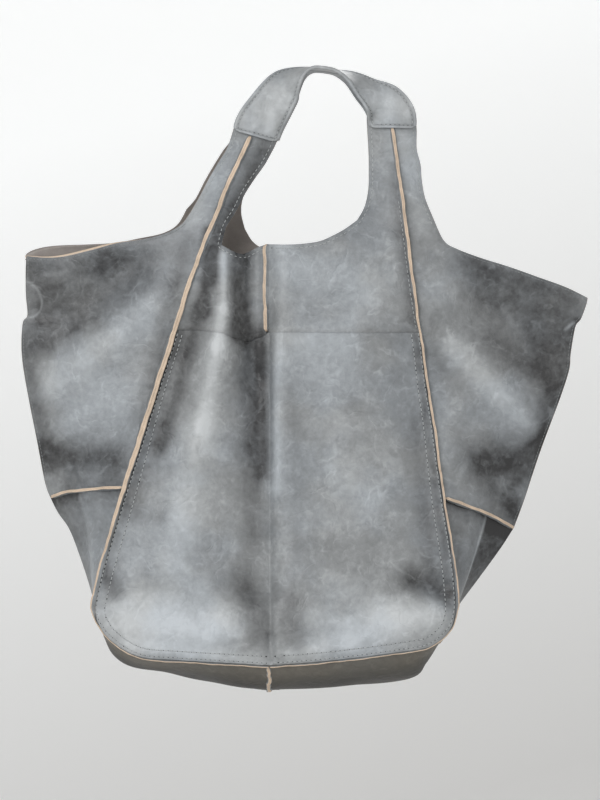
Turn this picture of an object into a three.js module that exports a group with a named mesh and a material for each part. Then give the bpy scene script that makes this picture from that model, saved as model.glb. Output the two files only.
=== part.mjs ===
// A leather tote bag, hanging by its two handle loops: a hollow shell of 2 mm leather panels with raw seam
// edges that stand proud, a full-width front pocket, side wings, a sagging base and two shoulder loops.
// Millimetres, +Z up, +X to the viewer's right, the viewer at -Y. The origin is under the crest of the loops.
import * as THREE from "three";

// Driving dimensions
const REACH = 336; // half the width of the bag pulled flat, which every x share in the tables is of
const DROP = 672; // handle crest to the base at its middle, which every z share in the tables is of
const BASE_DEPTH = 164; // front to back at the bottom seam
const STRAP_SPREAD = 50; // front strap to back strap, under the handles
const LEATHER = 2.2; // one layer of leather
const SEAM_EDGE = 4.4; // how far a raw seam edge stands out of the face
const HANDLE_WIDTH = 55; // the handle band at its sewn ends
const HANDLE_LEATHER = 3.6; // two layers, the handle band
const GAP = 0.3; // clearance between pieces that meet
const SEAM_CLEAR = 0.4; // half the clearance between two panels sewn edge to edge
const TUCK_CLEAR = 1.4; // a side piece behind the panel that it is sewn to
const BASE_SET_BACK = 0.4; // the base's edge behind the panel's face
const BASE_CLEAR = 0.5; // the base's edge to the edge of the panel above it
const EDGE_CLEAR = 1.2; // the pocket's edge to the raw edge beside it
const POCKET_EASE = 3.2; // the pocket's back to the panel behind it
const POCKET_SLACK = 4; // how much further back the covered panel hangs, away from its seams
const STRAP_FALL = 0.42; // how steeply a strap's halves fall back from its seam, per mm
const WING_BULGE = 0.35; // how far a wing bows out between its seam and its tip, a share of the depth there
const PANEL_CROWN = 0.1; // how far the panel bows out between its seams, a share of the depth there
const BASE_CORNER = 3; // power of the base's section: 2 is round, higher is flatter with tighter corners

// Outlines in the front view. Each row: x, a share of REACH; z, a share of DROP below the crest.
const LEFT_SEAM = [
  { x: -0.182, z: 0.076 },
  { x: -0.21, z: 0.105 },
  { x: -0.247, z: 0.145 },
  { x: -0.283, z: 0.183 },
  { x: -0.325, z: 0.237 },
  { x: -0.38, z: 0.307 },
  { x: -0.44, z: 0.388 },
  { x: -0.487, z: 0.463 },
  { x: -0.538, z: 0.543 },
  { x: -0.584, z: 0.617 },
  { x: -0.633, z: 0.695 },
  { x: -0.678, z: 0.773 },
  { x: -0.716, z: 0.842 },
  { x: -0.735, z: 0.888 },
  { x: -0.733, z: 0.905 },
  { x: -0.725, z: 0.918 },
  { x: -0.7, z: 0.938 },
];
const RIGHT_SEAM = [
  { x: 0.256, z: 0.078 },
  { x: 0.262, z: 0.11 },
  { x: 0.273, z: 0.15 },
  { x: 0.287, z: 0.2 },
  { x: 0.303, z: 0.263 },
  { x: 0.323, z: 0.345 },
  { x: 0.343, z: 0.413 },
  { x: 0.358, z: 0.452 },
  { x: 0.376, z: 0.527 },
  { x: 0.395, z: 0.587 },
  { x: 0.411, z: 0.648 },
  { x: 0.428, z: 0.712 },
  { x: 0.452, z: 0.792 },
  { x: 0.466, z: 0.845 },
  { x: 0.471, z: 0.883 },
  { x: 0.469, z: 0.902 },
  { x: 0.456, z: 0.926 },
  { x: 0.42, z: 0.947 },
];
const CENTRE_SEAM = [
  { x: -0.16, z: 0.29 },
  { x: -0.16, z: 0.438 },
  { x: -0.152, z: 0.6 },
  { x: -0.148, z: 0.8 },
  { x: -0.152, z: 0.992 },
];
const BOTTOM_LEFT = [
  { x: -0.7, z: 0.938 },
  { x: -0.645, z: 0.961 },
  { x: -0.57, z: 0.978 },
  { x: -0.45, z: 0.983 },
  { x: -0.283, z: 0.988 },
  { x: -0.152, z: 0.992 },
];
const BOTTOM_RIGHT = [
  { x: 0.42, z: 0.947 },
  { x: 0.373, z: 0.961 },
  { x: 0.283, z: 0.969 },
  { x: 0.117, z: 0.98 },
  { x: -0.02, z: 0.987 },
  { x: -0.152, z: 0.992 },
];
// The lowest line of the base, under each bottom row in turn
const BASE_LINE_LEFT = [
  { x: -0.703, z: 0.944 },
  { x: -0.672, z: 0.974 },
  { x: -0.6, z: 0.995 },
  { x: -0.452, z: 1.008 },
  { x: -0.283, z: 1.026 },
  { x: -0.152, z: 1.036 },
];
const BASE_LINE_RIGHT = [
  { x: 0.41, z: 0.955 },
  { x: 0.373, z: 0.989 },
  { x: 0.32, z: 1.015 },
  { x: 0.117, z: 1.024 },
  { x: -0.02, z: 1.03 },
  { x: -0.152, z: 1.036 },
];
const LEFT_STRAP_INNER = [
  { x: -0.108, z: 0.09 },
  { x: -0.134, z: 0.125 },
  { x: -0.165, z: 0.155 },
  { x: -0.2, z: 0.18 },
  { x: -0.232, z: 0.205 },
  { x: -0.262, z: 0.235 },
  { x: -0.295, z: 0.262 },
  { x: -0.31, z: 0.292 },
];
const LEFT_RIM_INNER = [
  { x: -0.31, z: 0.292 },
  { x: -0.27, z: 0.303 },
  { x: -0.233, z: 0.306 },
  { x: -0.19, z: 0.295 },
  { x: -0.16, z: 0.29 },
];
const BACK_LEFT_STRAP_INNER = [
  { x: -0.108, z: 0.09 },
  { x: -0.134, z: 0.125 },
  { x: -0.17, z: 0.155 },
  { x: -0.212, z: 0.183 },
  { x: -0.24, z: 0.21 },
  { x: -0.247, z: 0.235 },
  { x: -0.235, z: 0.262 },
];
const BACK_LEFT_RIM_INNER = [
  { x: -0.235, z: 0.262 },
  { x: -0.212, z: 0.281 },
  { x: -0.185, z: 0.292 },
  { x: -0.16, z: 0.297 },
];
const RIGHT_STRAP_INNER = [
  { x: 0.173, z: 0.078 },
  { x: 0.175, z: 0.1 },
  { x: 0.179, z: 0.135 },
  { x: 0.18, z: 0.165 },
  { x: 0.178, z: 0.198 },
  { x: 0.165, z: 0.227 },
  { x: 0.14, z: 0.25 },
];
const RIGHT_RIM_INNER = [
  { x: 0.14, z: 0.25 },
  { x: 0.095, z: 0.266 },
  { x: 0.05, z: 0.278 },
  { x: 0.01, z: 0.286 },
  { x: -0.05, z: 0.29 },
  { x: -0.103, z: 0.291 },
  { x: -0.16, z: 0.29 },
];
const LEFT_STRAP_OUTER = [
  { x: -0.257, z: 0.08 },
  { x: -0.27, z: 0.094 },
  { x: -0.283, z: 0.115 },
  { x: -0.297, z: 0.133 },
  { x: -0.327, z: 0.157 },
  { x: -0.357, z: 0.183 },
  { x: -0.387, z: 0.212 },
  { x: -0.415, z: 0.237 },
];
const LEFT_RIM_OUTER = [
  { x: -0.415, z: 0.237 },
  { x: -0.443, z: 0.256 },
  { x: -0.48, z: 0.268 },
  { x: -0.53, z: 0.277 },
  { x: -0.59, z: 0.283 },
  { x: -0.66, z: 0.288 },
  { x: -0.75, z: 0.3 },
  { x: -0.837, z: 0.31 },
  { x: -0.9, z: 0.312 },
  { x: -0.966, z: 0.309 },
];
const BACK_LEFT_RIM_OUTER = [
  { x: -0.43, z: 0.23 },
  { x: -0.46, z: 0.255 },
  { x: -0.51, z: 0.27 },
  { x: -0.59, z: 0.279 },
  { x: -0.66, z: 0.287 },
  { x: -0.75, z: 0.291 },
  { x: -0.837, z: 0.293 },
  { x: -0.9, z: 0.297 },
  { x: -0.966, z: 0.307 },
];
const RIGHT_STRAP_OUTER = [
  { x: 0.336, z: 0.078 },
  { x: 0.34, z: 0.1 },
  { x: 0.34, z: 0.13 },
  { x: 0.353, z: 0.157 },
  { x: 0.357, z: 0.183 },
  { x: 0.368, z: 0.213 },
  { x: 0.393, z: 0.245 },
];
const RIGHT_RIM_OUTER = [
  { x: 0.393, z: 0.245 },
  { x: 0.429, z: 0.284 },
  { x: 0.473, z: 0.298 },
  { x: 0.553, z: 0.313 },
  { x: 0.65, z: 0.328 },
  { x: 0.747, z: 0.345 },
  { x: 0.837, z: 0.361 },
  { x: 0.912, z: 0.379 },
];
const LEFT_TIP = [
  { x: -0.966, z: 0.309 },
  { x: -0.968, z: 0.34 },
  { x: -0.967, z: 0.375 },
  { x: -0.962, z: 0.408 },
  { x: -0.977, z: 0.42 },
  { x: -0.982, z: 0.455 },
  { x: -0.977, z: 0.492 },
  { x: -0.957, z: 0.55 },
  { x: -0.928, z: 0.623 },
  { x: -0.903, z: 0.688 },
  { x: -0.885, z: 0.713 },
];
const RIGHT_TIP = [
  { x: 0.912, z: 0.379 },
  { x: 0.908, z: 0.39 },
  { x: 0.89, z: 0.414 },
  { x: 0.873, z: 0.425 },
  { x: 0.863, z: 0.448 },
  { x: 0.855, z: 0.475 },
  { x: 0.85, z: 0.5 },
  { x: 0.82, z: 0.547 },
  { x: 0.763, z: 0.623 },
  { x: 0.732, z: 0.668 },
  { x: 0.7, z: 0.717 },
  { x: 0.665, z: 0.764 },
];
const LEFT_CROSS_SEAM = [
  { x: -0.633, z: 0.695 },
  { x: -0.72, z: 0.698 },
  { x: -0.822, z: 0.703 },
  { x: -0.885, z: 0.713 },
];
const RIGHT_CROSS_SEAM = [
  { x: 0.428, z: 0.712 },
  { x: 0.497, z: 0.725 },
  { x: 0.563, z: 0.737 },
  { x: 0.61, z: 0.749 },
  { x: 0.665, z: 0.764 },
];
const LEFT_SIDE_LINE = [
  { x: -0.885, z: 0.713 },
  { x: -0.86, z: 0.738 },
  { x: -0.82, z: 0.768 },
  { x: -0.78, z: 0.821 },
  { x: -0.752, z: 0.865 },
  { x: -0.73, z: 0.905 },
  { x: -0.703, z: 0.938 },
];
const RIGHT_SIDE_LINE = [
  { x: 0.665, z: 0.764 },
  { x: 0.621, z: 0.798 },
  { x: 0.553, z: 0.845 },
  { x: 0.482, z: 0.893 },
  { x: 0.45, z: 0.92 },
  { x: 0.412, z: 0.948 },
];
const POCKET_MOUTH_LEFT = [
  { x: -0.455, z: 0.433 },
  { x: -0.38, z: 0.434 },
  { x: -0.31, z: 0.439 },
  { x: -0.26, z: 0.448 },
  { x: -0.225, z: 0.453 },
  { x: -0.19, z: 0.447 },
  { x: -0.157, z: 0.438 },
];
const POCKET_MOUTH_RIGHT = [
  { x: 0.35, z: 0.438 },
  { x: 0.12, z: 0.438 },
  { x: -0.08, z: 0.437 },
  { x: -0.157, z: 0.438 },
];

// The side view. Each row: z, a share of DROP; out, a share of half the BASE_DEPTH in front of the middle.
const SIDE_PROFILE = [
  { z: 0.2, out: 0.36 },
  { z: 0.29, out: 0.47 },
  { z: 0.4, out: 0.52 },
  { z: 0.55, out: 0.56 },
  { z: 0.7, out: 0.62 },
  { z: 0.8, out: 0.69 },
  { z: 0.87, out: 0.8 },
  { z: 0.93, out: 0.93 },
  { z: 0.97, out: 0.99 },
  { z: 1, out: 1 },
];
const POCKET_TOP = 0.437; // share of DROP of the pocket's mouth at the centre seam
const BELLY = 0.82; // share of DROP below which the front swells out over the base
const PATCH_END = { left: 0.1145, right: 0.1 }; // share of DROP where the handle ends and the raw edge begins

// Folds of the front. Each row runs from x1, z1 to x2, z2, shares of REACH and DROP; width, a share of REACH;
// rise, a share of BASE_DEPTH towards the viewer, or away from them where it is negative.
const FRONT_FOLDS = [
  { of: "pocket ridge, top", x1: -0.303, z1: 0.3, x2: -0.327, z2: 0.468, width: 0.055, rise: 0.06 },
  { of: "pocket ridge, middle", x1: -0.333, z1: 0.5, x2: -0.397, z2: 0.637, width: 0.06, rise: 0.06 },
  { of: "pocket ridge, foot", x1: -0.41, z1: 0.68, x2: -0.5, z2: 0.83, width: 0.07, rise: 0.045 },
  { of: "centre valley, top", x1: -0.2, z1: 0.28, x2: -0.195, z2: 0.5, width: 0.055, rise: -0.115 },
  { of: "centre valley, foot", x1: -0.19, z1: 0.54, x2: -0.178, z2: 0.86, width: 0.06, rise: -0.07 },
  { of: "crease beside the centre", x1: -0.152, z1: 0.4, x2: -0.149, z2: 0.97, width: 0.018, rise: -0.02 },
  { of: "strip right of the centre", x1: -0.1, z1: 0.35, x2: -0.1, z2: 0.7, width: 0.045, rise: 0.022 },
  { of: "hollow by the left seam", x1: -0.42, z1: 0.417, x2: -0.56, z2: 0.66, width: 0.04, rise: -0.03 },
  { of: "hollow by the right seam", x1: 0.31, z1: 0.45, x2: 0.37, z2: 0.76, width: 0.05, rise: -0.03 },
  { of: "dent by the right corner", x1: 0.34, z1: 0.842, x2: 0.42, z2: 0.862, width: 0.045, rise: -0.045 },
  { of: "left wing hollow", x1: -0.83, z1: 0.41, x2: -0.62, z2: 0.335, width: 0.085, rise: -0.05 },
  { of: "left wing ridge", x1: -0.88, z1: 0.54, x2: -0.54, z2: 0.375, width: 0.075, rise: 0.045 },
  { of: "left wing lower hollow", x1: -0.86, z1: 0.66, x2: -0.67, z2: 0.605, width: 0.06, rise: -0.045 },
  { of: "right wing hollow", x1: 0.52, z1: 0.37, x2: 0.82, z2: 0.47, width: 0.09, rise: -0.045 },
  { of: "right wing ridge", x1: 0.4, z1: 0.43, x2: 0.72, z2: 0.585, width: 0.065, rise: 0.045 },
  { of: "right wing lower hollow", x1: 0.5, z1: 0.6, x2: 0.66, z2: 0.7, width: 0.06, rise: -0.04 },
];
const BACK_FOLDS = [
  { of: "left fold", x1: -0.35, z1: 0.35, x2: -0.45, z2: 0.8, width: 0.08, rise: 0.04 },
  { of: "middle hollow", x1: -0.14, z1: 0.33, x2: -0.14, z2: 0.85, width: 0.08, rise: -0.05 },
  { of: "right fold", x1: 0.12, z1: 0.35, x2: 0.25, z2: 0.8, width: 0.08, rise: 0.035 },
  { of: "left wing fold", x1: -0.88, z1: 0.54, x2: -0.56, z2: 0.4, width: 0.08, rise: 0.035 },
  { of: "right wing fold", x1: 0.45, z1: 0.42, x2: 0.72, z2: 0.56, width: 0.08, rise: 0.035 },
];

// The handle's middle line. Each row: x and z as above; width, a share of HANDLE_WIDTH;
// turn, degrees from facing the viewer to facing up.
const HANDLE = [
  { x: -0.2, z: 0.111, width: 0.66, turn: 0 },
  { x: -0.198, z: 0.1075, width: 0.9, turn: 0 },
  { x: -0.194, z: 0.101, width: 0.98, turn: 0 },
  { x: -0.184, z: 0.084, width: 1, turn: 0 },
  { x: -0.162, z: 0.063, width: 0.98, turn: 0 },
  { x: -0.127, z: 0.036, width: 0.9, turn: 20 },
  { x: -0.09, z: 0.016, width: 0.84, turn: 48 },
  { x: -0.045, z: 0.003, width: 0.8, turn: 76 },
  { x: 0, z: -0.002, width: 0.78, turn: 90 },
  { x: 0.06, z: 0, width: 0.78, turn: 90 },
  { x: 0.12, z: 0.008, width: 0.8, turn: 78 },
  { x: 0.18, z: 0.024, width: 0.86, turn: 50 },
  { x: 0.228, z: 0.046, width: 0.95, turn: 20 },
  { x: 0.25, z: 0.07, width: 1, turn: 0 },
  { x: 0.258, z: 0.086, width: 0.98, turn: 0 },
  { x: 0.26, z: 0.0935, width: 0.92, turn: 0 },
  { x: 0.26, z: 0.097, width: 0.74, turn: 0 },
];

// Colours and finishes
const leather = new THREE.MeshStandardMaterial({ color: 0x7d8184, roughness: 0.5, metalness: 0 });
const baseLeather = new THREE.MeshStandardMaterial({ color: 0x68645e, roughness: 0.6, metalness: 0 });

// Curves
const place = (row) => new THREE.Vector2(row.x * REACH, -row.z * DROP);
const curve = (rows) => new THREE.SplineCurve(rows.map(place));

// Runs several curves end to end; until holds the share of the way at which each one is left.
function chain(curves, until) {
  return (t) => {
    const i = Math.min(
      until.findIndex((end) => t <= end + 1e-9),
      curves.length - 1,
    );
    const start = i ? until[i - 1] : 0;
    return curves[i](Math.min(1, Math.max(0, (t - start) / (until[i] - start))));
  };
}

// Runs along one curve so that it passes the depths in stops at the shares of the way in until.
function paced(line, stops, until) {
  const samples = line.getSpacedPoints(200);
  const shares = stops.map((z) => {
    const at = samples.findIndex((p) => p.y <= -z * DROP);
    return at < 0 ? 1 : at / 200;
  });
  const knots = [0, ...until, 1];
  const arcs = [0, ...shares, 1];
  return (t) => {
    const i = Math.min(knots.findIndex((k) => t <= k + 1e-9), knots.length - 1) || 1;
    const f = (t - knots[i - 1]) / (knots[i] - knots[i - 1]);
    return line.getPointAt(Math.min(1, Math.max(0, arcs[i - 1] + f * (arcs[i] - arcs[i - 1]))));
  };
}
// The stretch of a curve between two depths, as shares of DROP
function stretch(line, from, to) {
  const inside = line.getSpacedPoints(160).filter((p) => p.y <= -from * DROP && p.y >= -to * DROP);
  return new THREE.SplineCurve(inside);
}
const straight = (a, b) => (t) => a.clone().lerp(b, t);
const along = (line) => (t) => line.getPointAt(Math.min(1, Math.max(0, t)));

// Coons' patch in the front view: near and far are its sides, top and bottom its ends, all from near to far.
function coons(near, far, top, bottom) {
  const corner = [near(0), far(0), near(1), far(1)];
  return (u, v) => {
    const sides = near(v).lerp(far(v), u);
    const ends = top(u).lerp(bottom(u), v);
    const flat = corner[0].clone().lerp(corner[1], u).lerp(corner[2].clone().lerp(corner[3], u), v);
    return sides.add(ends).sub(flat);
  };
}

// Looks a value up in a table by its z column, in millimetres, with straight lines between the rows.
function lookup(rows, column, scale) {
  return (z) => {
    const share = -z / DROP;
    const i = rows.findIndex((row) => row.z >= share);
    if (i === 0) return rows[0][column] * scale;
    if (i < 0) return rows[rows.length - 1][column] * scale;
    const f = (share - rows[i - 1].z) / (rows[i].z - rows[i - 1].z);
    return scale * (rows[i - 1][column] + f * (rows[i][column] - rows[i - 1][column]));
  };
}
const smooth = (from, to, at) => THREE.MathUtils.smoothstep(at, from, to);

// The walls' depths; each ramp is a pair of shares of DROP between which something eases in
const PROFILE_RAMP = [0.13, 0.24]; // from the straps' spread to the body's side profile
const STRAP_RAMP = [0.19, 0.3]; // from the straps' fall to the panels' crown
const FOLD_RAMP = [0.2, 0.3]; // the folds begin
const HALF_DEPTH = BASE_DEPTH / 2;
const TIP_ROOM = 1.3; // a tip's face, in thicknesses of leather from the middle plane
const TIP_DEPTH = TIP_ROOM * LEATHER + GAP; // a wing's face at its tip, clear of the other wing
const FLANGE_STEP = 0.4; // the slope at the foot of a raw edge
const LEAST_WING = 25; // a wing this narrow or narrower is taken as this wide
const leftSeamAt = lookup(LEFT_SEAM.slice(0, -3), "x", REACH);
const rightSeamAt = lookup(RIGHT_SEAM.slice(0, -3), "x", REACH);
const leftTipAt = lookup([...LEFT_TIP, ...LEFT_SIDE_LINE.slice(1)], "x", REACH);
const rightTipAt = lookup([...RIGHT_TIP, ...RIGHT_SIDE_LINE.slice(1)], "x", REACH);
const bodyProfile = lookup(SIDE_PROFILE, "out", HALF_DEPTH);

// The side view's half depth: straight straps under the handles, easing into the table of the body.
function profile(z) {
  const share = -z / DROP;
  const body = bodyProfile(z);
  return THREE.MathUtils.lerp(STRAP_SPREAD / 2, body, smooth(...PROFILE_RAMP, share));
}

// Folds are round ridges or hollows along their segments: rise times the bell curve of distance over width.
function relief(folds, x, z) {
  let sum = 0;
  for (const fold of folds) {
    const ax = fold.x1 * REACH;
    const az = -fold.z1 * DROP;
    const bx = fold.x2 * REACH - ax;
    const bz = -fold.z2 * DROP - az;
    const t = Math.min(1, Math.max(0, ((x - ax) * bx + (z - az) * bz) / (bx * bx + bz * bz)));
    const distance = Math.hypot(x - ax - t * bx, z - az - t * bz);
    sum += fold.rise * BASE_DEPTH * Math.exp(-((distance / (fold.width * REACH)) ** 2));
  }
  return sum;
}

// How far the outer face stands from the middle plane at a point of the front view.
function depthAt(folds, x, z) {
  const left = leftSeamAt(z);
  const right = rightSeamAt(z);
  const level = profile(z);
  const middle = (left + right) / 2;
  const leftOut = (left - x) / Math.max(LEAST_WING, left - leftTipAt(z));
  const rightOut = (x - right) / Math.max(LEAST_WING, rightTipAt(z) - right);
  const out = Math.min(1, Math.max(0, leftOut, rightOut));
  const crown = out > 0 ? 0 : PANEL_CROWN * level * (1 - ((x - middle) / (right - middle)) ** 2);
  const bowed = crown * (1 - smooth(BELLY, 1, -z / DROP));
  const strap = 1 - smooth(...STRAP_RAMP, -z / DROP);
  const toSeam = Math.min(Math.abs(x - left), Math.abs(x - right));
  const open = TIP_DEPTH + (level - TIP_DEPTH) * (1 - out) * (1 + WING_BULGE * out);
  const calm = (1 - out ** 4) * smooth(...FOLD_RAMP, -z / DROP);
  const folded = open + bowed * (1 - strap) - strap * STRAP_FALL * toSeam;
  return Math.max(TIP_DEPTH, folded + calm * relief(folds, x, z));
}

// The wall's thickness along Y, so that it measures LEATHER square to the face.
function wallAt(folds, x, z) {
  const step = 2;
  const dx = (depthAt(folds, x + step, z) - depthAt(folds, x - step, z)) / (2 * step);
  const dz = (depthAt(folds, x, z + step) - depthAt(folds, x, z - step)) / (2 * step);
  return LEATHER * Math.min(2, Math.hypot(1, dx, dz));
}

// The first rows of a strap: its raw edge is under the handle at the first and stands up from the second.
const START = [0.09, 0.105];
const EDGE_START = 0.01; // share of DROP

// Solids
// Closes a wall between an outer and an inner skin: each takes every cell, and each open edge gets a strip.
function closeWall(cells, outer, inner) {
  const points = [...outer, ...inner];
  const n = outer.length;
  const faces = [];
  const edges = new Map();
  for (const [a, b, c, d] of cells) {
    faces.push([a, b, c], [a, c, d], [n + c, n + b, n + a], [n + d, n + c, n + a]);
    for (const [p, q] of [[a, b], [b, c], [c, d], [d, a]]) {
      const back = q + "," + p;
      if (edges.has(back)) edges.delete(back);
      else edges.set(p + "," + q, [p, q]);
    }
  }
  for (const [p, q] of edges.values()) faces.push([q, p, n + p], [q, n + p, n + q]);
  const volume = faces.reduce((sum, [a, b, c]) => {
    return sum + points[a].dot(points[b].clone().cross(points[c]));
  }, 0);
  const index = volume < 0 ? faces.map(([a, b, c]) => [a, c, b]) : faces;
  const geometry = new THREE.BufferGeometry().setFromPoints(points);
  geometry.setIndex(index.flat());
  geometry.computeVertexNormals();
  return geometry;
}

// Joins grids of points that share an edge into one list of points and cells.
function joinGrids(grids) {
  const found = new Map();
  const points = [];
  const cells = [];
  for (const grid of grids) {
    const ids = grid.map((row) =>
      row.map((point) => {
        const key = point.x.toFixed(3) + "," + point.z.toFixed(3);
        if (!found.has(key)) {
          found.set(key, points.length);
          points.push(point);
        }
        return found.get(key);
      }),
    );
    const [a, b, c] = [ids[0][0], ids[0][1], ids[1][0]].map((id) => points[id]);
    const turned = (b.x - a.x) * (c.z - a.z) - (b.z - a.z) * (c.x - a.x) > 0;
    for (let row = 1; row < ids.length; row++)
      for (let col = 1; col < ids[row].length; col++) {
        const cell = [ids[row - 1][col - 1], ids[row - 1][col], ids[row][col], ids[row][col - 1]];
        cells.push(turned ? cell.reverse() : cell);
      }
  }
  return { points, cells };
}

// Spreads steps between stops: counts[i] even steps from stops[i] to stops[i + 1].
function spread(stops, counts) {
  const list = [stops[0]];
  counts.forEach((count, i) => {
    for (let k = 1; k <= count; k++) list.push(stops[i] + ((stops[i + 1] - stops[i]) * k) / count);
  });
  return list;
}

// A grid over a patch. near and far say what each side does: "flange" turns its edge out as a raw seam edge,
// "inset" keeps clear of a raw edge that another piece turns out there, "edge" runs to the line.
function gridOver(patch, rows, columns, near, far, ends = {}) {
  const flange = [SEAM_CLEAR, SEAM_CLEAR + LEATHER, SEAM_CLEAR + LEATHER + FLANGE_STEP];
  const sides = { flange, inset: [SEAM_CLEAR + LEATHER + FLANGE_STEP + EDGE_CLEAR], edge: [0] };
  return rows.map((v, r) => {
    const length = Math.max(12, patch(0, v).distanceTo(patch(1, v)));
    const first = sides[near].map((mm) => mm / length);
    const last = sides[far].map((mm) => 1 - mm / length).reverse();
    const from = first[first.length - 1];
    const to = last[0];
    const inner = spread([from, to], [columns]).slice(1, -1);
    return [...first, ...inner, ...last].map((u, c, all) => {
      const p = patch(u, v);
      const standing = r >= START.length; // above this row the handle covers the edge
      const onNear = near === "flange" && c < 2 && standing;
      const onFar = far === "flange" && c > all.length - 3;
      const onEnd = ends.flangeRows && r >= rows.length - ends.flangeRows;
      return { x: p.x, z: p.y, raised: onNear || onFar || onEnd };
    });
  });
}

// A wall of leather from grids in the front view; side is -1 for the front and 1 for the back of the bag.
// layer moves the wall's face out of the bag's own face.
function leatherWall(grids, side, folds, layer = () => 0) {
  const { points, cells } = joinGrids(grids);
  const face = ({ x, z }) => depthAt(folds, x, z) + layer(x, z);
  const outer = points.map((point) => {
    const edge = point.raised ? SEAM_EDGE : 0;
    return new THREE.Vector3(point.x, side * (face(point) + edge), point.z);
  });
  const inner = points.map((point) => {
    const depth = face(point) - wallAt(folds, point.x, point.z);
    return new THREE.Vector3(point.x, side * Math.max(GAP / 2, depth), point.z);
  });
  return closeWall(cells, outer, inner);
}

// The pocket lies over the panel, and the panel under it hangs slack between its seams.
const SLACK_START = [POCKET_TOP - 0.05, POCKET_TOP - 0.01]; // shares of DROP
const SLACK_END = [0.9, 0.94]; // shares of DROP
const SLACK_SIDE = [10, 40]; // from the strap seams
const pocketLayer = (x, z) => wallAt(FRONT_FOLDS, x, z) + POCKET_EASE;
function slackUnderPocket(x, z) {
  const share = -z / DROP;
  const toSeam = Math.min(x - leftSeamAt(z), rightSeamAt(z) - x);
  const covered = smooth(...SLACK_START, share) * (1 - smooth(...SLACK_END, share));
  return -POCKET_SLACK * covered * smooth(...SLACK_SIDE, toSeam);
}

const group = new THREE.Group();
function add(name, geometry, material) {
  const mesh = new THREE.Mesh(geometry, material);
  mesh.name = name;
  group.add(mesh);
}

const seams = { left: curve(LEFT_SEAM), right: curve(RIGHT_SEAM), centre: curve(CENTRE_SEAM) };
const bottoms = { left: curve(BOTTOM_LEFT), right: curve(BOTTOM_RIGHT) };

// Half of the front or back panel: from strap seam to the strap's inner edge, the rim and the centre seam.
function panelHalf(hand, inner, rim, stop, counts) {
  const until = [...START, 0.3, 0.42, 0.8];
  const near = paced(seams[hand], [PATCH_END[hand], PATCH_END[hand] + EDGE_START, ...stop, BELLY], until);
  const centre = paced(seams.centre, [BELLY], [(until[4] - until[3]) / (1 - until[3])]);
  const far = chain([along(curve(inner)), along(curve(rim)), centre], [until[2], until[3], 1]);
  const patch = coons(near, far, straight(near(0), far(0)), along(bottoms[hand]));
  return gridOver(patch, spread([0, ...until, 1], counts.rows), counts.columns, "flange", "flange");
}

// The centre edge of a panel half stands up only below the rim, and not where the pocket lies over it.
function plainOffCentreSeam(grid, rimRow, covered) {
  const plain = (point, r, c) => c > grid[0].length - 3 && (r < rimRow || -point.z / DROP > covered);
  const lowered = (point, r, c) => (plain(point, r, c) ? { ...point, raised: false } : point);
  return grid.map((row, r) => row.map((point, c) => lowered(point, r, c)));
}

function panel(name, hand, side, inner, rim, counts) {
  const stop = hand === "left" ? [0.262, 0.36] : [0.25, 0.36];
  const rimRow = counts.rows.slice(0, 4).reduce((sum, count) => sum + count);
  const covered = side < 0 ? POCKET_TOP : 1;
  const grid = plainOffCentreSeam(panelHalf(hand, inner, rim, stop, counts), rimRow, covered);
  const folds = side < 0 ? FRONT_FOLDS : BACK_FOLDS;
  const layer = side < 0 ? slackUnderPocket : () => 0;
  add(name, leatherWall([grid], side, folds, layer), leather);
}
const FRONT_COUNTS = { rows: [1, 1, 4, 3, 6, 5], columns: 9 };
const BACK_COUNTS = { rows: [1, 1, 3, 2, 4, 5], columns: 6 };
panel("front_panel_left", "left", -1, LEFT_STRAP_INNER, LEFT_RIM_INNER, FRONT_COUNTS);
panel("front_panel_right", "right", -1, RIGHT_STRAP_INNER, RIGHT_RIM_INNER, FRONT_COUNTS);
panel("back_panel_left", "left", 1, BACK_LEFT_STRAP_INNER, BACK_LEFT_RIM_INNER, BACK_COUNTS);
panel("back_panel_right", "right", 1, RIGHT_STRAP_INNER, RIGHT_RIM_INNER, BACK_COUNTS);

// A wing with the outer half of its strap: from the strap seam to the strap's outer edge, the rim and tip.
function wing(name, hand, side, outerEdge, rim, counts) {
  const tip = hand === "left" ? LEFT_TIP : RIGHT_TIP;
  const cross = hand === "left" ? LEFT_CROSS_SEAM : RIGHT_CROSS_SEAM;
  const line = stretch(seams[hand], 0, cross[0].z);
  const stops = [PATCH_END[hand], PATCH_END[hand] + EDGE_START, 0.25, 0.4];
  const near = paced(line, stops, [...START, 0.26, 0.52]);
  const far = chain([outerEdge, rim, tip].map((rows) => along(curve(rows))), [0.26, 0.52, 1]);
  const patch = coons(near, far, straight(near(0), far(0)), along(curve(cross)));
  const height = DROP * (cross[0].z - rim[rim.length - 1].z);
  const last = [1 - (LEATHER + FLANGE_STEP) / height, 1 - LEATHER / height, 1];
  const rows = [...spread([0, ...START, 0.26, 0.52, last[0]], counts.rows), last[1], last[2]];
  const folds = side < 0 ? FRONT_FOLDS : BACK_FOLDS;
  const grid = gridOver(patch, rows, counts.columns, "flange", "edge", { flangeRows: 2 });
  add(name, leatherWall([grid], side, folds), leather);
}
const FRONT_WING = { rows: [1, 1, 4, 6, 7], columns: 9 };
const BACK_WING = { rows: [1, 1, 3, 4, 5], columns: 6 };
const BACK_STRAP_SHIFT = 0.012; // share of REACH by which the left back strap shows past the front one
const BACK_LEFT_STRAP_OUTER = [
  ...LEFT_STRAP_OUTER.slice(0, 3),
  ...LEFT_STRAP_OUTER.slice(3, -1).map(({ x, z }) => ({ x: x - BACK_STRAP_SHIFT, z })),
  BACK_LEFT_RIM_OUTER[0],
];
wing("front_wing_left", "left", -1, LEFT_STRAP_OUTER, LEFT_RIM_OUTER, FRONT_WING);
wing("front_wing_right", "right", -1, RIGHT_STRAP_OUTER, RIGHT_RIM_OUTER, FRONT_WING);
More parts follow.
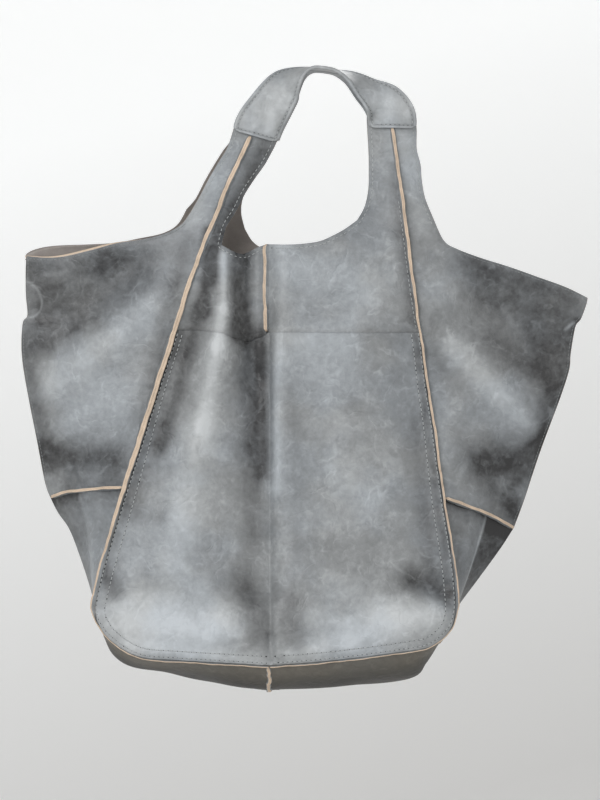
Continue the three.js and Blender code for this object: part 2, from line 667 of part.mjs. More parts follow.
wing("back_wing_left", "left", 1, BACK_LEFT_STRAP_OUTER, BACK_LEFT_RIM_OUTER, BACK_WING);
wing("back_wing_right", "right", 1, RIGHT_STRAP_OUTER, RIGHT_RIM_OUTER, BACK_WING);

// The pocket: one wall over both halves of the panel, from its mouth down to the bottom seam.
function pocket() {
  const middle = paced(stretch(seams.centre, POCKET_TOP, Infinity), [BELLY], [0.6]);
  const grids = ["left", "right"].map((hand) => {
    const mouth = hand === "left" ? POCKET_MOUTH_LEFT : POCKET_MOUTH_RIGHT;
    const near = paced(stretch(seams[hand], mouth[0].z, Infinity), [BELLY], [0.6]);
    const patch = coons(near, middle, along(curve(mouth)), along(bottoms[hand]));
    return gridOver(patch, spread([0, 0.6, 1], [8, 6]), 9, "inset", "edge");
  });
  return leatherWall(grids, -1, FRONT_FOLDS, pocketLayer);
}
add("front_pocket", pocket(), leather);

// The line that a side piece starts from, just behind the panel's own wall
function behind(folds, p, side) {
  const depth = depthAt(folds, p.x, p.y) - wallAt(folds, p.x, p.y) - TUCK_CLEAR;
  return new THREE.Vector3(p.x, side * depth, p.y);
}

// A wall over a grid of points in space, LEATHER thick on the side that inward(point, row) looks to. Raised
// columns stand out as a raw edge, and levelEnds keeps the end rows level, under the panels' edges.
function loftWall(grid, inward, raisedColumns, limit, levelEnds = false) {
  const rows = grid.length;
  const columns = grid[0].length;
  const outer = [];
  const inner = [];
  const at = (r, c) => grid[Math.min(rows - 1, Math.max(0, r))][Math.min(columns - 1, Math.max(0, c))];
  for (let r = 0; r < rows; r++)
    for (let c = 0; c < columns; c++) {
      const down = at(r + 1, c).clone().sub(at(r - 1, c));
      const over = at(r, c + 1).clone().sub(at(r, c - 1));
      const normal = down.cross(over).normalize();
      const inside = inward(at(r, c), r);
      if (levelEnds && (r === 0 || r === rows - 1)) normal.set(0, inside.y, 0);
      else if (normal.dot(inside) < 0) normal.negate();
      const rise = raisedColumns && c >= columns - raisedColumns ? SEAM_EDGE : 0;
      outer.push(limit(at(r, c).clone().addScaledVector(normal, -rise)));
      inner.push(limit(at(r, c).clone().addScaledVector(normal, LEATHER)));
    }
  const cells = [];
  for (let r = 1; r < rows; r++)
    for (let c = 1; c < columns; c++) {
      const a = (r - 1) * columns + c - 1;
      cells.push([a, a + 1, a + columns + 1, a + columns]);
    }
  return closeWall(cells, outer, inner);
}

const SIDE_LIFT = 1.6; // a side piece ends this many walls above the bottom seam
const SIDE_CLOSES = [0, 0.8]; // shares of a side piece's height over which its side line closes
const SIDE_HOLLOW = 1.15; // above 1, the side pieces sink in between their seams
// A lower side piece: from the strap seam back to the side line, below the cross seam, down to the base.
function sidePiece(name, hand, side) {
  const cross = hand === "left" ? LEFT_CROSS_SEAM : RIGHT_CROSS_SEAM;
  const line = hand === "left" ? LEFT_SIDE_LINE : RIGHT_SIDE_LINE;
  const folds = side < 0 ? FRONT_FOLDS : BACK_FOLDS;
  const raise = (LEATHER + GAP) * SIDE_LIFT;
  const near = along(stretch(seams[hand], cross[0].z, Infinity));
  const far = along(curve(line));
  const patch = coons(near, far, along(curve(cross)), straight(near(1), far(1)));
  const height = near(0).y - near(1).y;
  const grid = spread([GAP / height, 1 - raise / height], [7]).map((v) => {
    const start = behind(folds, near(v), side);
    return spread([0, 1], [6]).map((w) => {
      const p = patch(w, v);
      const tip = THREE.MathUtils.lerp(TIP_DEPTH, GAP, smooth(...SIDE_CLOSES, v));
      const depth = THREE.MathUtils.lerp(Math.abs(start.y), tip, w ** SIDE_HOLLOW);
      return new THREE.Vector3(p.x, side * depth, p.y);
    });
  });
  const inward = () => new THREE.Vector3(hand === "left" ? 1 : -1, -side, 0);
  const limit = (p) => p.setY(side * Math.max(GAP / 2, side * p.y));
  add(name, loftWall(grid, inward, 0, limit), leather);
}
for (const hand of ["left", "right"]) {
  sidePiece("front_side_" + hand, hand, -1);
  sidePiece("back_side_" + hand, hand, 1);
}

// Half of the base: its section sags from the front bottom seam to the base line and up to the back one.
function baseHalf(name, hand) {
  const seam = along(bottoms[hand]);
  const low = along(curve(hand === "left" ? BASE_LINE_LEFT : BASE_LINE_RIGHT));
  const centre = seams.centre.getPointAt(1).x;
  const away = hand === "left" ? -1 : 1;
  const span = Math.abs(centre - bottoms[hand].getPointAt(0).x);
  const edge = [1 - (LEATHER + FLANGE_STEP) / span, 1 - LEATHER / span, 1];
  const across = [...spread([0, edge[0]], [9]), edge[1], edge[2]];
  const grid = spread([0, 1], [12]).map((w) =>
    across.map((u) => {
      const ahead = seam(Math.min(1, u + 0.01)).sub(seam(Math.max(0, u - 0.01))).normalize();
      const rim = seam(u).add(new THREE.Vector2(-away * ahead.y, away * ahead.x).multiplyScalar(BASE_CLEAR));
      const sunk = (folds) => depthAt(folds, rim.x, rim.y) - BASE_SET_BACK;
      const sag = 1 - Math.abs(2 * w - 1) ** BASE_CORNER;
      const x = rim.x + (low(u).x - seam(u).x) * sag;
      const z = rim.y + (low(u).y - seam(u).y) * sag;
      return new THREE.Vector3(x, THREE.MathUtils.lerp(-sunk(FRONT_FOLDS), sunk(BACK_FOLDS), w), z);
    }),
  );
  const limit = (p) => p.setX(centre + away * Math.max(GAP / 2, away * (p.x - centre)));
  const inward = (p, r) => new THREE.Vector3(0, r === 0 ? 1 : r === grid.length - 1 ? -1 : 0, 1);
  add(name, loftWall(grid, inward, 2, limit, true), baseLeather);
}
baseHalf("base_left", "left");
baseHalf("base_right", "right");

// A handle: a flat band swept along its middle line, facing out at its sewn ends and up at the crest.
function handle(name, side) {
  const offset = STRAP_SPREAD / 2 + GAP + HANDLE_LEATHER / 2;
  const lift = HANDLE_LEATHER / 2 - Math.min(...HANDLE.map((row) => row.z)) * -DROP;
  const middle = new THREE.CatmullRomCurve3(
    HANDLE.map((row) => new THREE.Vector3(row.x * REACH, side * offset, -row.z * DROP + lift)),
    false,
    "centripetal",
  );
  const steps = HANDLE.length - 1;
  const between = (column, t) => {
    const i = Math.min(steps - 1, Math.floor(t * steps));
    return THREE.MathUtils.lerp(HANDLE[i][column], HANDLE[i + 1][column], t * steps - i);
  };
  const grid = spread([0, 1], [2 * steps]).map((t) => {
    const centre = middle.getPoint(t);
    const tangent = middle.getTangent(t);
    const turn = THREE.MathUtils.degToRad(between("turn", t));
    const face = new THREE.Vector3(0, side * Math.cos(turn), Math.sin(turn));
    const across = tangent.clone().cross(face).normalize();
    const normal = across.clone().cross(tangent).normalize();
    const half = (between("width", t) * HANDLE_WIDTH) / 2;
    return [-1, -0.5, 0, 0.5, 1].map((share) => ({
      point: centre.clone().addScaledVector(across, share * half),
      normal,
    }));
  });
  const cells = [];
  const width = grid[0].length;
  for (let r = 1; r < grid.length; r++)
    for (let c = 1; c < width; c++) {
      const a = (r - 1) * width + c - 1;
      cells.push([a, a + 1, a + width + 1, a + width]);
    }
  const skin = (out) => grid.flat().map(({ point, normal }) => point.clone().addScaledVector(normal, out));
  add(name, closeWall(cells, skin(HANDLE_LEATHER / 2), skin(-HANDLE_LEATHER / 2)), leather);
}
handle("front_handle", -1);
handle("back_handle", 1);

export default group;
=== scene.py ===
"""Dresses the leather tote bag: finer panels with folds and creases, raw seams, stitches and handles."""

import bpy
import numpy as np
from bpy.props import FloatProperty, FloatVectorProperty, PointerProperty
from bpy.types import Operator, Panel, PropertyGroup
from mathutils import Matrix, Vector


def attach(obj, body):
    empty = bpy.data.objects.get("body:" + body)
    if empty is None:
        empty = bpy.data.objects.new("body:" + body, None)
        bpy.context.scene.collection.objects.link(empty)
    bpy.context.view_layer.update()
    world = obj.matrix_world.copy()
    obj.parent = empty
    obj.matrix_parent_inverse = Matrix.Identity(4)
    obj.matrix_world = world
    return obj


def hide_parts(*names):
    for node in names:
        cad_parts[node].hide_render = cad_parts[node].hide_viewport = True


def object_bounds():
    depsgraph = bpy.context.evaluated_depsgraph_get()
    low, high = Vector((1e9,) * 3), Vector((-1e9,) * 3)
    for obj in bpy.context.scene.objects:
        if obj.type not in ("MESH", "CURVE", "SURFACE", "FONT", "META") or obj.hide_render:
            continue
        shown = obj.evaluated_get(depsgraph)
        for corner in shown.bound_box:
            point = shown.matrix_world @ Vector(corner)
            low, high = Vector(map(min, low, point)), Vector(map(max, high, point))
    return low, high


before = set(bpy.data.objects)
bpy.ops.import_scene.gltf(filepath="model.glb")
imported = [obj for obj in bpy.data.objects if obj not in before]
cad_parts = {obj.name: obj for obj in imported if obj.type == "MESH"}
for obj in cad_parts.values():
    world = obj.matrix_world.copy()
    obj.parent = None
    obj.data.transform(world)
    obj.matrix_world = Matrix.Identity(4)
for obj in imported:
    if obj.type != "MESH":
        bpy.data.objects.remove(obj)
CAD_BOX = [list(corner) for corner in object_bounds()]

bl_info = {
    "name": "Leather Tote Bag",
    "version": (1, 0, 0),
    "blender": (4, 5, 0),
    "location": "View3D > Sidebar > Tote Bag",
    "description": "Builds the dressed pieces of a slouchy leather tote bag",
    "category": "Object",
}

MM = 0.001
REACH = 336 * MM  # half the width of the bag pulled flat, which every x share is of
DROP = 672 * MM  # handle crest to the base at its middle, which every z share is of
HALF_DEPTH = 82 * MM  # half of front to back at the bottom seam
HALF_SPREAD = 25 * MM  # middle plane to a strap, under the handles
LEATHER = 2.2 * MM
GAP = 0.3 * MM
TIP_DEPTH = 1.3 * LEATHER + GAP  # a wing's face at its tip, clear of the other wing
STRAP_FALL = 0.42  # how steeply a strap's halves fall back from its seam
PATCH_BEND = 4 * MM  # how softly a handle's end bends over the strap seam under it
WING_BULGE = 0.35  # how far a wing bows out between seam and tip, a share of the depth there
PANEL_CROWN = 0.1  # how far a panel bows out between its seams, a share of the depth there
BELLY = 0.82  # share of DROP below which the front swells out over the base
LEAST_WING = 25 * MM  # width below which a wing's slope to its tip gets no steeper
SEWN_PAST = 0.05 * MM  # how far the inner skins pass the middle plane where front and back are sewn
FRONT, BACK = -1, 1
WALLS = ((FRONT, "front"), (BACK, "back"))
HANDS = ("left", "right")
# Ramps down the bag, in shares of DROP: the straps ease into the body's profile, their fall gives way to
# the panels' crown, the folds set in, and the seams turn in under the bottom corners
PROFILE_RAMP, STRAP_RAMP, FOLD_RAMP, CORNER_RAMP = (0.13, 0.24), (0.19, 0.3), (0.2, 0.3), (0.88, 0.93)
TONE_RANGE = (-0.95, 1.1)  # darkest and lightest tone of the leather's painted light and shade
BACK_SHADING_RISE = 9 * MM  # rise of a fold on the back that gives it a tone of one: painted light on its ridges, painted shade in its hollows

# Outlines in the front view, rows of x (share of REACH) and depth below the crest (share of DROP)
LEFT_SEAM = (
    (-0.182, 0.076), (-0.21, 0.105), (-0.247, 0.145), (-0.283, 0.183), (-0.325, 0.237), (-0.38, 0.307),
    (-0.44, 0.388), (-0.487, 0.463), (-0.538, 0.543), (-0.584, 0.617), (-0.633, 0.695), (-0.678, 0.773),
    (-0.716, 0.842), (-0.735, 0.888), (-0.733, 0.905), (-0.725, 0.918), (-0.7, 0.938),
)
RIGHT_SEAM = (
    (0.256, 0.078), (0.262, 0.11), (0.273, 0.15), (0.287, 0.2), (0.303, 0.263), (0.323, 0.345),
    (0.343, 0.413), (0.358, 0.452), (0.376, 0.527), (0.395, 0.587), (0.411, 0.648), (0.428, 0.712),
    (0.452, 0.792), (0.466, 0.845), (0.471, 0.883), (0.469, 0.902), (0.456, 0.926), (0.42, 0.947),
)
CENTRE_SEAM = ((-0.16, 0.29), (-0.16, 0.438), (-0.152, 0.6), (-0.148, 0.8), (-0.152, 0.992))
BOTTOM_LEFT = (
    (-0.7, 0.938), (-0.645, 0.961), (-0.57, 0.978), (-0.45, 0.983), (-0.283, 0.988), (-0.152, 0.992),
)
BOTTOM_RIGHT = (
    (0.42, 0.947), (0.373, 0.961), (0.283, 0.969), (0.117, 0.98), (-0.02, 0.987), (-0.152, 0.992),
)
BASE_LINE_LEFT = (
    (-0.703, 0.944), (-0.672, 0.974), (-0.6, 0.995), (-0.452, 1.008), (-0.283, 1.026), (-0.152, 1.036),
)
BASE_LINE_RIGHT = (
    (0.41, 0.955), (0.373, 0.989), (0.32, 1.015), (0.117, 1.024), (-0.02, 1.03), (-0.152, 1.036),
)
LEFT_STRAP_INNER = (
    (-0.108, 0.09), (-0.134, 0.125), (-0.165, 0.155), (-0.2, 0.18), (-0.232, 0.205), (-0.262, 0.235),
    (-0.295, 0.262), (-0.31, 0.292),
)
LEFT_RIM_INNER = ((-0.31, 0.292), (-0.27, 0.303), (-0.233, 0.306), (-0.19, 0.295), (-0.16, 0.29))
BACK_LEFT_STRAP_INNER = (
    (-0.108, 0.09), (-0.134, 0.125), (-0.17, 0.155), (-0.212, 0.183), (-0.24, 0.21), (-0.247, 0.235),
    (-0.235, 0.262),
)
BACK_LEFT_RIM_INNER = ((-0.235, 0.262), (-0.212, 0.281), (-0.185, 0.292), (-0.16, 0.297))
RIGHT_STRAP_INNER = (
    (0.173, 0.078), (0.175, 0.1), (0.179, 0.135), (0.18, 0.165), (0.178, 0.198), (0.165, 0.227),
    (0.14, 0.25),
)
RIGHT_RIM_INNER = (
    (0.14, 0.25), (0.095, 0.266), (0.05, 0.278), (0.01, 0.286), (-0.05, 0.29), (-0.103, 0.291),
    (-0.16, 0.29),
)
LEFT_STRAP_OUTER = (
    (-0.257, 0.08), (-0.27, 0.094), (-0.283, 0.115), (-0.297, 0.133), (-0.327, 0.157), (-0.357, 0.183),
    (-0.387, 0.212), (-0.415, 0.237),
)
LEFT_RIM_OUTER = (
    (-0.415, 0.237), (-0.443, 0.256), (-0.48, 0.268), (-0.53, 0.277), (-0.59, 0.283), (-0.66, 0.288),
    (-0.75, 0.3), (-0.837, 0.31), (-0.9, 0.312), (-0.966, 0.309),
)
BACK_LEFT_STRAP_OUTER = (
    (-0.257, 0.08), (-0.27, 0.094), (-0.283, 0.115), (-0.309, 0.133), (-0.339, 0.157), (-0.369, 0.183),
    (-0.399, 0.212), (-0.43, 0.23),
)
BACK_LEFT_RIM_OUTER = (
    (-0.43, 0.23), (-0.46, 0.255), (-0.51, 0.27), (-0.59, 0.279), (-0.66, 0.287), (-0.75, 0.291),
    (-0.837, 0.293), (-0.9, 0.297), (-0.966, 0.307),
)
RIGHT_STRAP_OUTER = (
    (0.336, 0.078), (0.34, 0.1), (0.34, 0.13), (0.353, 0.157), (0.357, 0.183), (0.368, 0.213),
    (0.393, 0.245),
)
RIGHT_RIM_OUTER = (
    (0.393, 0.245), (0.429, 0.284), (0.473, 0.298), (0.553, 0.313), (0.65, 0.328), (0.747, 0.345),
    (0.837, 0.361), (0.912, 0.379),
)
LEFT_TIP = (
    (-0.966, 0.309), (-0.968, 0.34), (-0.967, 0.375), (-0.962, 0.408), (-0.977, 0.42), (-0.982, 0.455),
    (-0.977, 0.492), (-0.957, 0.55), (-0.928, 0.623), (-0.903, 0.688), (-0.885, 0.713),
)
RIGHT_TIP = (
    (0.912, 0.379), (0.908, 0.39), (0.89, 0.414), (0.873, 0.425), (0.863, 0.448), (0.855, 0.475),
    (0.85, 0.5), (0.82, 0.547), (0.763, 0.623), (0.732, 0.668), (0.7, 0.717), (0.665, 0.764),
)
LEFT_CROSS_SEAM = ((-0.633, 0.695), (-0.72, 0.698), (-0.822, 0.703), (-0.885, 0.713))
RIGHT_CROSS_SEAM = ((0.428, 0.712), (0.497, 0.725), (0.563, 0.737), (0.61, 0.749), (0.665, 0.764))
LEFT_SIDE_LINE = (
    (-0.885, 0.713), (-0.86, 0.738), (-0.82, 0.768), (-0.78, 0.821), (-0.752, 0.865), (-0.73, 0.905),
    (-0.703, 0.938),
)
RIGHT_SIDE_LINE = (
    (0.665, 0.764), (0.621, 0.798), (0.553, 0.845), (0.482, 0.893), (0.45, 0.92), (0.412, 0.948),
)
POCKET_MOUTH_LEFT = (
    (-0.455, 0.433), (-0.38, 0.434), (-0.31, 0.439), (-0.26, 0.448), (-0.225, 0.453), (-0.19, 0.447),
    (-0.157, 0.438),
)
POCKET_MOUTH_RIGHT = ((0.35, 0.438), (0.12, 0.438), (-0.08, 0.437), (-0.157, 0.438))
SEAM = {"left": LEFT_SEAM, "right": RIGHT_SEAM}
TURN_ROWS = 3  # rows at a strap seam's end in which it turns in under the corner
BOTTOM = {"left": BOTTOM_LEFT, "right": BOTTOM_RIGHT}
BASE_LINE = {"left": BASE_LINE_LEFT, "right": BASE_LINE_RIGHT}
CROSS_SEAM = {"left": LEFT_CROSS_SEAM, "right": RIGHT_CROSS_SEAM}
SIDE_LINE = {"left": LEFT_SIDE_LINE, "right": RIGHT_SIDE_LINE}
SEAM_FOOT = 0.99  # share of DROP at which a strap seam has met the bottom seam
POCKET_TOP = 0.437  # share of DROP at which the pocket begins
# Share of DROP at which a handle's sewn end stops
PATCH_END = {"left": 0.1145, "right": 0.1}
# The body in the side view: depth below the crest (share of DROP) and half depth (share of HALF_DEPTH)
SIDE_PROFILE = (
    (0.2, 0.36), (0.29, 0.47), (0.4, 0.52), (0.55, 0.56), (0.7, 0.62), (0.8, 0.69), (0.87, 0.8),
    (0.93, 0.93), (0.97, 0.99), (1, 1),
)

# Folds: x1, z1, x2, z2 (shares), width (share of REACH) and rise (mm, towards the outside)
FRONT_FOLDS = (
    (-0.303, 0.3, -0.327, 0.468, 0.055, 9.8), (-0.333, 0.5, -0.397, 0.637, 0.06, 9.8),
    (-0.41, 0.68, -0.5, 0.83, 0.07, 7.4), (-0.2, 0.28, -0.195, 0.5, 0.055, -18.9),
    (-0.19, 0.54, -0.178, 0.86, 0.06, -11.5), (-0.152, 0.4, -0.149, 0.97, 0.018, -3.3),
    (-0.1, 0.35, -0.1, 0.7, 0.045, 3.6), (-0.42, 0.417, -0.56, 0.66, 0.04, -4.9),
    (0.31, 0.45, 0.37, 0.76, 0.05, -4.9), (0.34, 0.842, 0.42, 0.862, 0.045, -7.4),
    (-0.83, 0.41, -0.62, 0.335, 0.085, -8.2), (-0.88, 0.54, -0.54, 0.375, 0.075, 7.4),
    (-0.86, 0.66, -0.67, 0.605, 0.06, -7.4), (0.52, 0.37, 0.82, 0.47, 0.09, -7.4),
    (0.4, 0.43, 0.72, 0.585, 0.065, 7.4), (0.5, 0.6, 0.66, 0.7, 0.06, -6.6),
)
BACK_FOLDS = (
    (-0.35, 0.35, -0.45, 0.8, 0.08, 6.6), (-0.14, 0.33, -0.14, 0.85, 0.08, -8.2),
    (0.12, 0.35, 0.25, 0.8, 0.08, 5.7), (-0.88, 0.54, -0.56, 0.4, 0.08, 5.7),
    (0.45, 0.42, 0.72, 0.56, 0.08, 5.7),
)
# Small creases seen on the front: x1, z1, x2, z2 (shares), width and rise (mm)
FRONT_CREASES = (
    (-0.935, 0.385, -0.955, 0.39, 5, 1.2),
    (0.873, 0.423, 0.853, 0.47, 3, -2.4), (0.837, 0.432, 0.867, 0.422, 2.4, 1.5),
    (-0.15, 0.44, -0.149, 0.95, 1.8, -1.5), (-0.149, 0.94, -0.141, 0.978, 3.4, -2),
    (-0.135, 0.955, -0.12, 0.975, 2.5, 0.9),
)
# Painted light and shade on the front's leather, partly its own worn light and darkened patches: x1, z1, x2,
# z2, width (shares) and tone, -1 to 1
FRONT_SHADING_AND_WEAR = (
    (-0.85, 0.42, -0.63, 0.33, 0.1, -0.85), (-0.95, 0.325, -0.7, 0.315, 0.05, -0.6),
    (-0.93, 0.34, -0.9, 0.46, 0.05, -0.55), (-0.72, 0.41, -0.52, 0.36, 0.05, -0.25),
    (-0.88, 0.52, -0.55, 0.39, 0.085, 0.55), (-0.73, 0.56, -0.58, 0.53, 0.09, 0.4),
    (-0.87, 0.645, -0.66, 0.65, 0.06, -0.95), (-0.97, 0.45, -0.9, 0.66, 0.035, -0.6),
    (-0.82, 0.7, -0.66, 0.69, 0.035, -0.5), (-0.36, 0.19, -0.42, 0.25, 0.05, 0.45),
    (-0.42, 0.28, -0.58, 0.58, 0.028, -0.5), (-0.17, 0.14, -0.33, 0.28, 0.034, -0.9),
    (-0.35, 0.27, -0.37, 0.4, 0.028, -0.95), (-0.39, 0.4, -0.51, 0.62, 0.036, -0.8),
    (-0.5, 0.6, -0.62, 0.74, 0.03, -0.5), (-0.58, 0.74, -0.52, 0.745, 0.03, -0.35),
    (-0.7, 0.835, -0.665, 0.865, 0.035, -0.85), (-0.303, 0.31, -0.304, 0.4, 0.012, 0.8),
    (-0.306, 0.4, -0.325, 0.46, 0.02, 0.8), (-0.325, 0.46, -0.37, 0.6, 0.034, 0.7),
    (-0.37, 0.6, -0.45, 0.82, 0.06, 0.5), (-0.63, 0.92, -0.37, 0.94, 0.07, 0.75),
    (-0.37, 0.87, -0.28, 0.93, 0.05, 0.4), (-0.245, 0.28, -0.25, 0.44, 0.034, -1.3),
    (-0.225, 0.44, -0.215, 0.62, 0.045, -0.6), (-0.178, 0.44, -0.175, 0.67, 0.026, -0.8),
    (-0.205, 0.64, -0.2, 0.77, 0.045, -0.55), (-0.24, 0.85, -0.18, 0.93, 0.045, -0.55),
    (-0.6, 0.9, -0.3, 0.92, 0.06, 0.4), (-0.62, 0.955, -0.2, 0.98, 0.025, 0.5),
    (0.2, 0.9, 0.38, 0.9, 0.05, 0.35), (-0.125, 0.44, -0.13, 0.7, 0.018, 0.6),
    (-0.06, 0.34, 0.16, 0.36, 0.11, 0.4), (-0.07, 0.455, 0.09, 0.46, 0.06, 0.4),
    (0.02, 0.52, 0.12, 0.72, 0.13, 0.35), (0.07, 0.85, 0.22, 0.9, 0.07, 0.45),
    (0.34, 0.56, 0.39, 0.82, 0.04, -0.5), (-0.01, 0.91, 0.09, 0.92, 0.05, 0.45),
    (0.32, 0.845, 0.44, 0.87, 0.042, -0.9), (0.12, 0.94, 0.38, 0.91, 0.06, 0.6),
    (-0.08, 0.97, 0.12, 0.95, 0.03, 0.4), (-0.09, 0.88, -0.06, 0.95, 0.045, -0.4),
    (0.265, 0.16, 0.33, 0.42, 0.026, -0.6), (0.3, 0.1, 0.3, 0.16, 0.06, 0.5),
    (0.33, 0.2, 0.36, 0.26, 0.035, 0.3), (0.42, 0.24, 0.44, 0.27, 0.04, -0.35),
    (0.58, 0.38, 0.82, 0.43, 0.09, -0.8), (0.78, 0.44, 0.84, 0.53, 0.075, -0.9),
    (0.5, 0.32, 0.86, 0.375, 0.045, -0.6), (0.6, 0.455, 0.72, 0.5, 0.05, -0.7),
    (0.38, 0.42, 0.42, 0.5, 0.03, -0.25), (0.45, 0.46, 0.71, 0.59, 0.045, 0.55),
    (0.37, 0.33, 0.42, 0.38, 0.05, 0.2), (0.56, 0.655, 0.7, 0.655, 0.075, -1),
    (0.72, 0.65, 0.77, 0.6, 0.035, -0.9), (0.6, 0.71, 0.68, 0.74, 0.04, -0.5),
    (-0.86, 0.37, -0.82, 0.42, 0.045, -0.65), (-0.336, 0.27, -0.336, 0.35, 0.018, -0.8),
    (0.83, 0.48, 0.77, 0.57, 0.035, -0.65), (0.66, 0.7, 0.67, 0.74, 0.035, -0.5),
    (0.01, 0.955, 0.02, 0.96, 0.04, 0.35), (-0.5, 0.87, -0.48, 0.88, 0.05, 0.3),
    (0.877, 0.42, 0.853, 0.47, 0.014, -0.9), (0.837, 0.432, 0.867, 0.421, 0.007, 0.9),
)
# The sharp crease that curls round a dent at the left tip, with a painted highlight along it: x and z
# (shares)
TIP_CREASE = (
    (-0.962, 0.352), (-0.933, 0.362), (-0.914, 0.382), (-0.918, 0.4), (-0.94, 0.41), (-0.965, 0.412),
)
# Painted highlights on the handles' ends: rows as in FRONT_SHADING_AND_WEAR
HANDLE_HIGHLIGHTS = ((-0.16, 0.1, -0.145, 0.075, 0.022, 0.8), (0.2, 0.06, 0.3, 0.06, 0.04, 0.35))
# The handle's middle line: x, z (shares), width (share of HANDLE_WIDTH), turn from facing out to facing up
HANDLE_WIDTH = 55 * MM
HANDLE_LEATHER = 3.6 * MM
HANDLE_LENGTH = 330 * MM  # along the band, for its waves and borders
HANDLE = (
    (-0.2, 0.111, 0.66, 0), (-0.198, 0.1075, 0.9, 0), (-0.194, 0.101, 0.98, 0), (-0.181, 0.087, 0.97, 0),
    (-0.156, 0.067, 0.91, 0), (-0.122, 0.041, 0.84, 20), (-0.09, 0.02, 0.8, 48), (-0.045, 0.004, 0.79, 76),
    (0, -0.002, 0.78, 90), (0.06, 0.001, 0.76, 90), (0.12, 0.013, 0.72, 74), (0.177, 0.034, 0.74, 50),
    (0.226, 0.053, 0.87, 20), (0.252, 0.073, 0.98, 0), (0.2595, 0.086, 0.98, 0), (0.26, 0.0935, 0.92, 0),
    (0.26, 0.097, 0.74, 0),
)


def linear(red, green, blue):
    """A colour given as 0 to 255 display values, as the linear values that Blender works in."""
    shares = np.array([red, green, blue]) / 255
    return tuple(np.where(shares > 0.04045, ((shares + 0.055) / 1.055) ** 2.4, shares / 12.92))


def length_field(label, text, millimetres):
    """A size in the add-on's panel."""
    return FloatProperty(
        name=label, description=text, default=millimetres * MM, min=0, unit="LENGTH", precision=5
    )


def share_field(label, text, value, highest=1):
    """A plain number in the add-on's panel."""
    return FloatProperty(name=label, description=text, default=value, min=0, max=highest)


def power_field(label, text, watts):
    """A light's power in the add-on's panel."""
    return FloatProperty(name=label, description=text, default=watts, min=0, unit="POWER")


def colour_field(label, text, red, green, blue):
    """A colour in the add-on's panel."""
    default = linear(red, green, blue)
    return FloatVectorProperty(
        name=label, description=text, default=default, subtype="COLOR", size=3, min=0, max=1
    )


class ToteSizes(PropertyGroup):
    """Sizes of the dressed pieces."""

    seam_height: length_field("Raw seam height", "How far a raw seam stands out of the leather", 4.2)
    seam_half: length_field("Raw seam half width", "Half the width of the widest raw seam", 2.7)
    crease_depth: length_field("Crease depth", "Depth of the small creases all over the leather", 0.55)
    sway: length_field("Sway", "Height of the soft waves over the leather", 0.8)
    stitch_pitch: length_field("Stitch pitch", "From one stitch to the next", 5.2)
    stitch_length: length_field("Stitch length", "Length of one visible stitch", 3.3)
    stitch_width: length_field("Stitch width", "Thickness of the thread", 0.95)
    row_inset: length_field("Stitch row inset", "From the raw seam to the outer row of stitches", 2.1)
    row_gap: length_field("Stitch row gap", "From the outer row of stitches to the inner one", 10.5)


class ToteFinish(PropertyGroup):
    """Colours and gloss of the materials."""

    # dark and light are the ends of the leather's tone ramp: the painted shade and painted highlights of the
    # stretch attribute reach them, and so do the leather's own blotches
    dark: colour_field("Dark leather", "Leather in the hollows", 44, 44, 45)
    middle: colour_field("Leather", "Leather on level ground", 130, 133, 135)
    light: colour_field("Light leather", "Leather where it is stretched", 186, 190, 193)
    # the base's ends of the tone ramp: painted shade on its underside and painted light by its seams reach
    # them, and so do its own blotches
    base_dark: colour_field("Dark base leather", "Base leather in the hollows", 34, 32, 28)
    base_middle: colour_field("Base leather", "Base leather on level ground", 78, 75, 68)
    base_light: colour_field("Light base leather", "Base leather where it is rubbed", 116, 112, 104)
    raw: colour_field("Raw edge", "Cut edge of the leather", 218, 197, 175)
    flesh: colour_field("Flesh side", "Inside of the leather", 160, 153, 148)
    thread: colour_field("Thread", "Stitching thread", 182, 186, 186)
    gloss: share_field("Roughness", "Roughness of the finished leather", 0.43)


class ToteStudio(PropertyGroup):
    """Floor, lights and camera."""

    floor: colour_field("Floor", "Colour of the floor", 250, 251, 251)
    below: length_field("Floor below the bag", "From the bag's base down to the floor", 850)
    key: power_field("Key light", "Power of the large light", 52)
    fill: power_field("Fill light", "Power of the side light", 8)
    sky: share_field("Sky", "Strength of the even light from all round", 0.36, 10)


def unit(vectors):
    """The vectors at length one."""
    return vectors / np.maximum(1e-12, np.linalg.norm(vectors, axis=-1, keepdims=True))


def distances(points):
    """How far along the line through the points each of them lies."""
    return np.concatenate([[0], np.cumsum(np.linalg.norm(np.diff(points, axis=0), axis=1))])


# Curves. A track is a pair: shares of the way, and the points there.
def track(points, steps=24):
    """Uniform Catmull-Rom curve through the points, its ends doubled, with its length as parameter:
    c(t) = a t^3 + b t^2 + v0 t + p1 between p1 and p2, with v0 = (p2 - p0) / 2 and v1 = (p3 - p1) / 2."""
    padded = np.vstack([points[:1], points, points[-1:]])
    p0, p1, p2, p3 = (padded[i : len(padded) - 3 + i, None] for i in range(4))
    t = np.linspace(0, 1, steps, endpoint=False)[None, :, None]
    v0, v1 = (p2 - p0) / 2, (p3 - p1) / 2
    samples = (2 * p1 - 2 * p2 + v0 + v1) * t**3 + (3 * p2 - 3 * p1 - 2 * v0 - v1) * t**2 + v0 * t + p1
    return measured(np.vstack([samples.reshape(-1, samples.shape[-1]), points[-1:]]))


def measured(samples):
    """The track through samples: each one's parameter is its share of the whole length."""
    arc = distances(samples)
    return arc / arc[-1], samples


def placed(rows):
    """Rows of shares as metres in the front view: x to the right, z up."""
    return np.array(rows)[:, :2] * (REACH, -DROP)


def outline(rows):
    """The track through rows of shares."""
    return track(placed(rows))


def at(line, t):
    """Points of a track at the shares t, straight between its samples."""
    shares, points = line
    return np.stack([np.interp(t, shares, column) for column in points.T], -1)


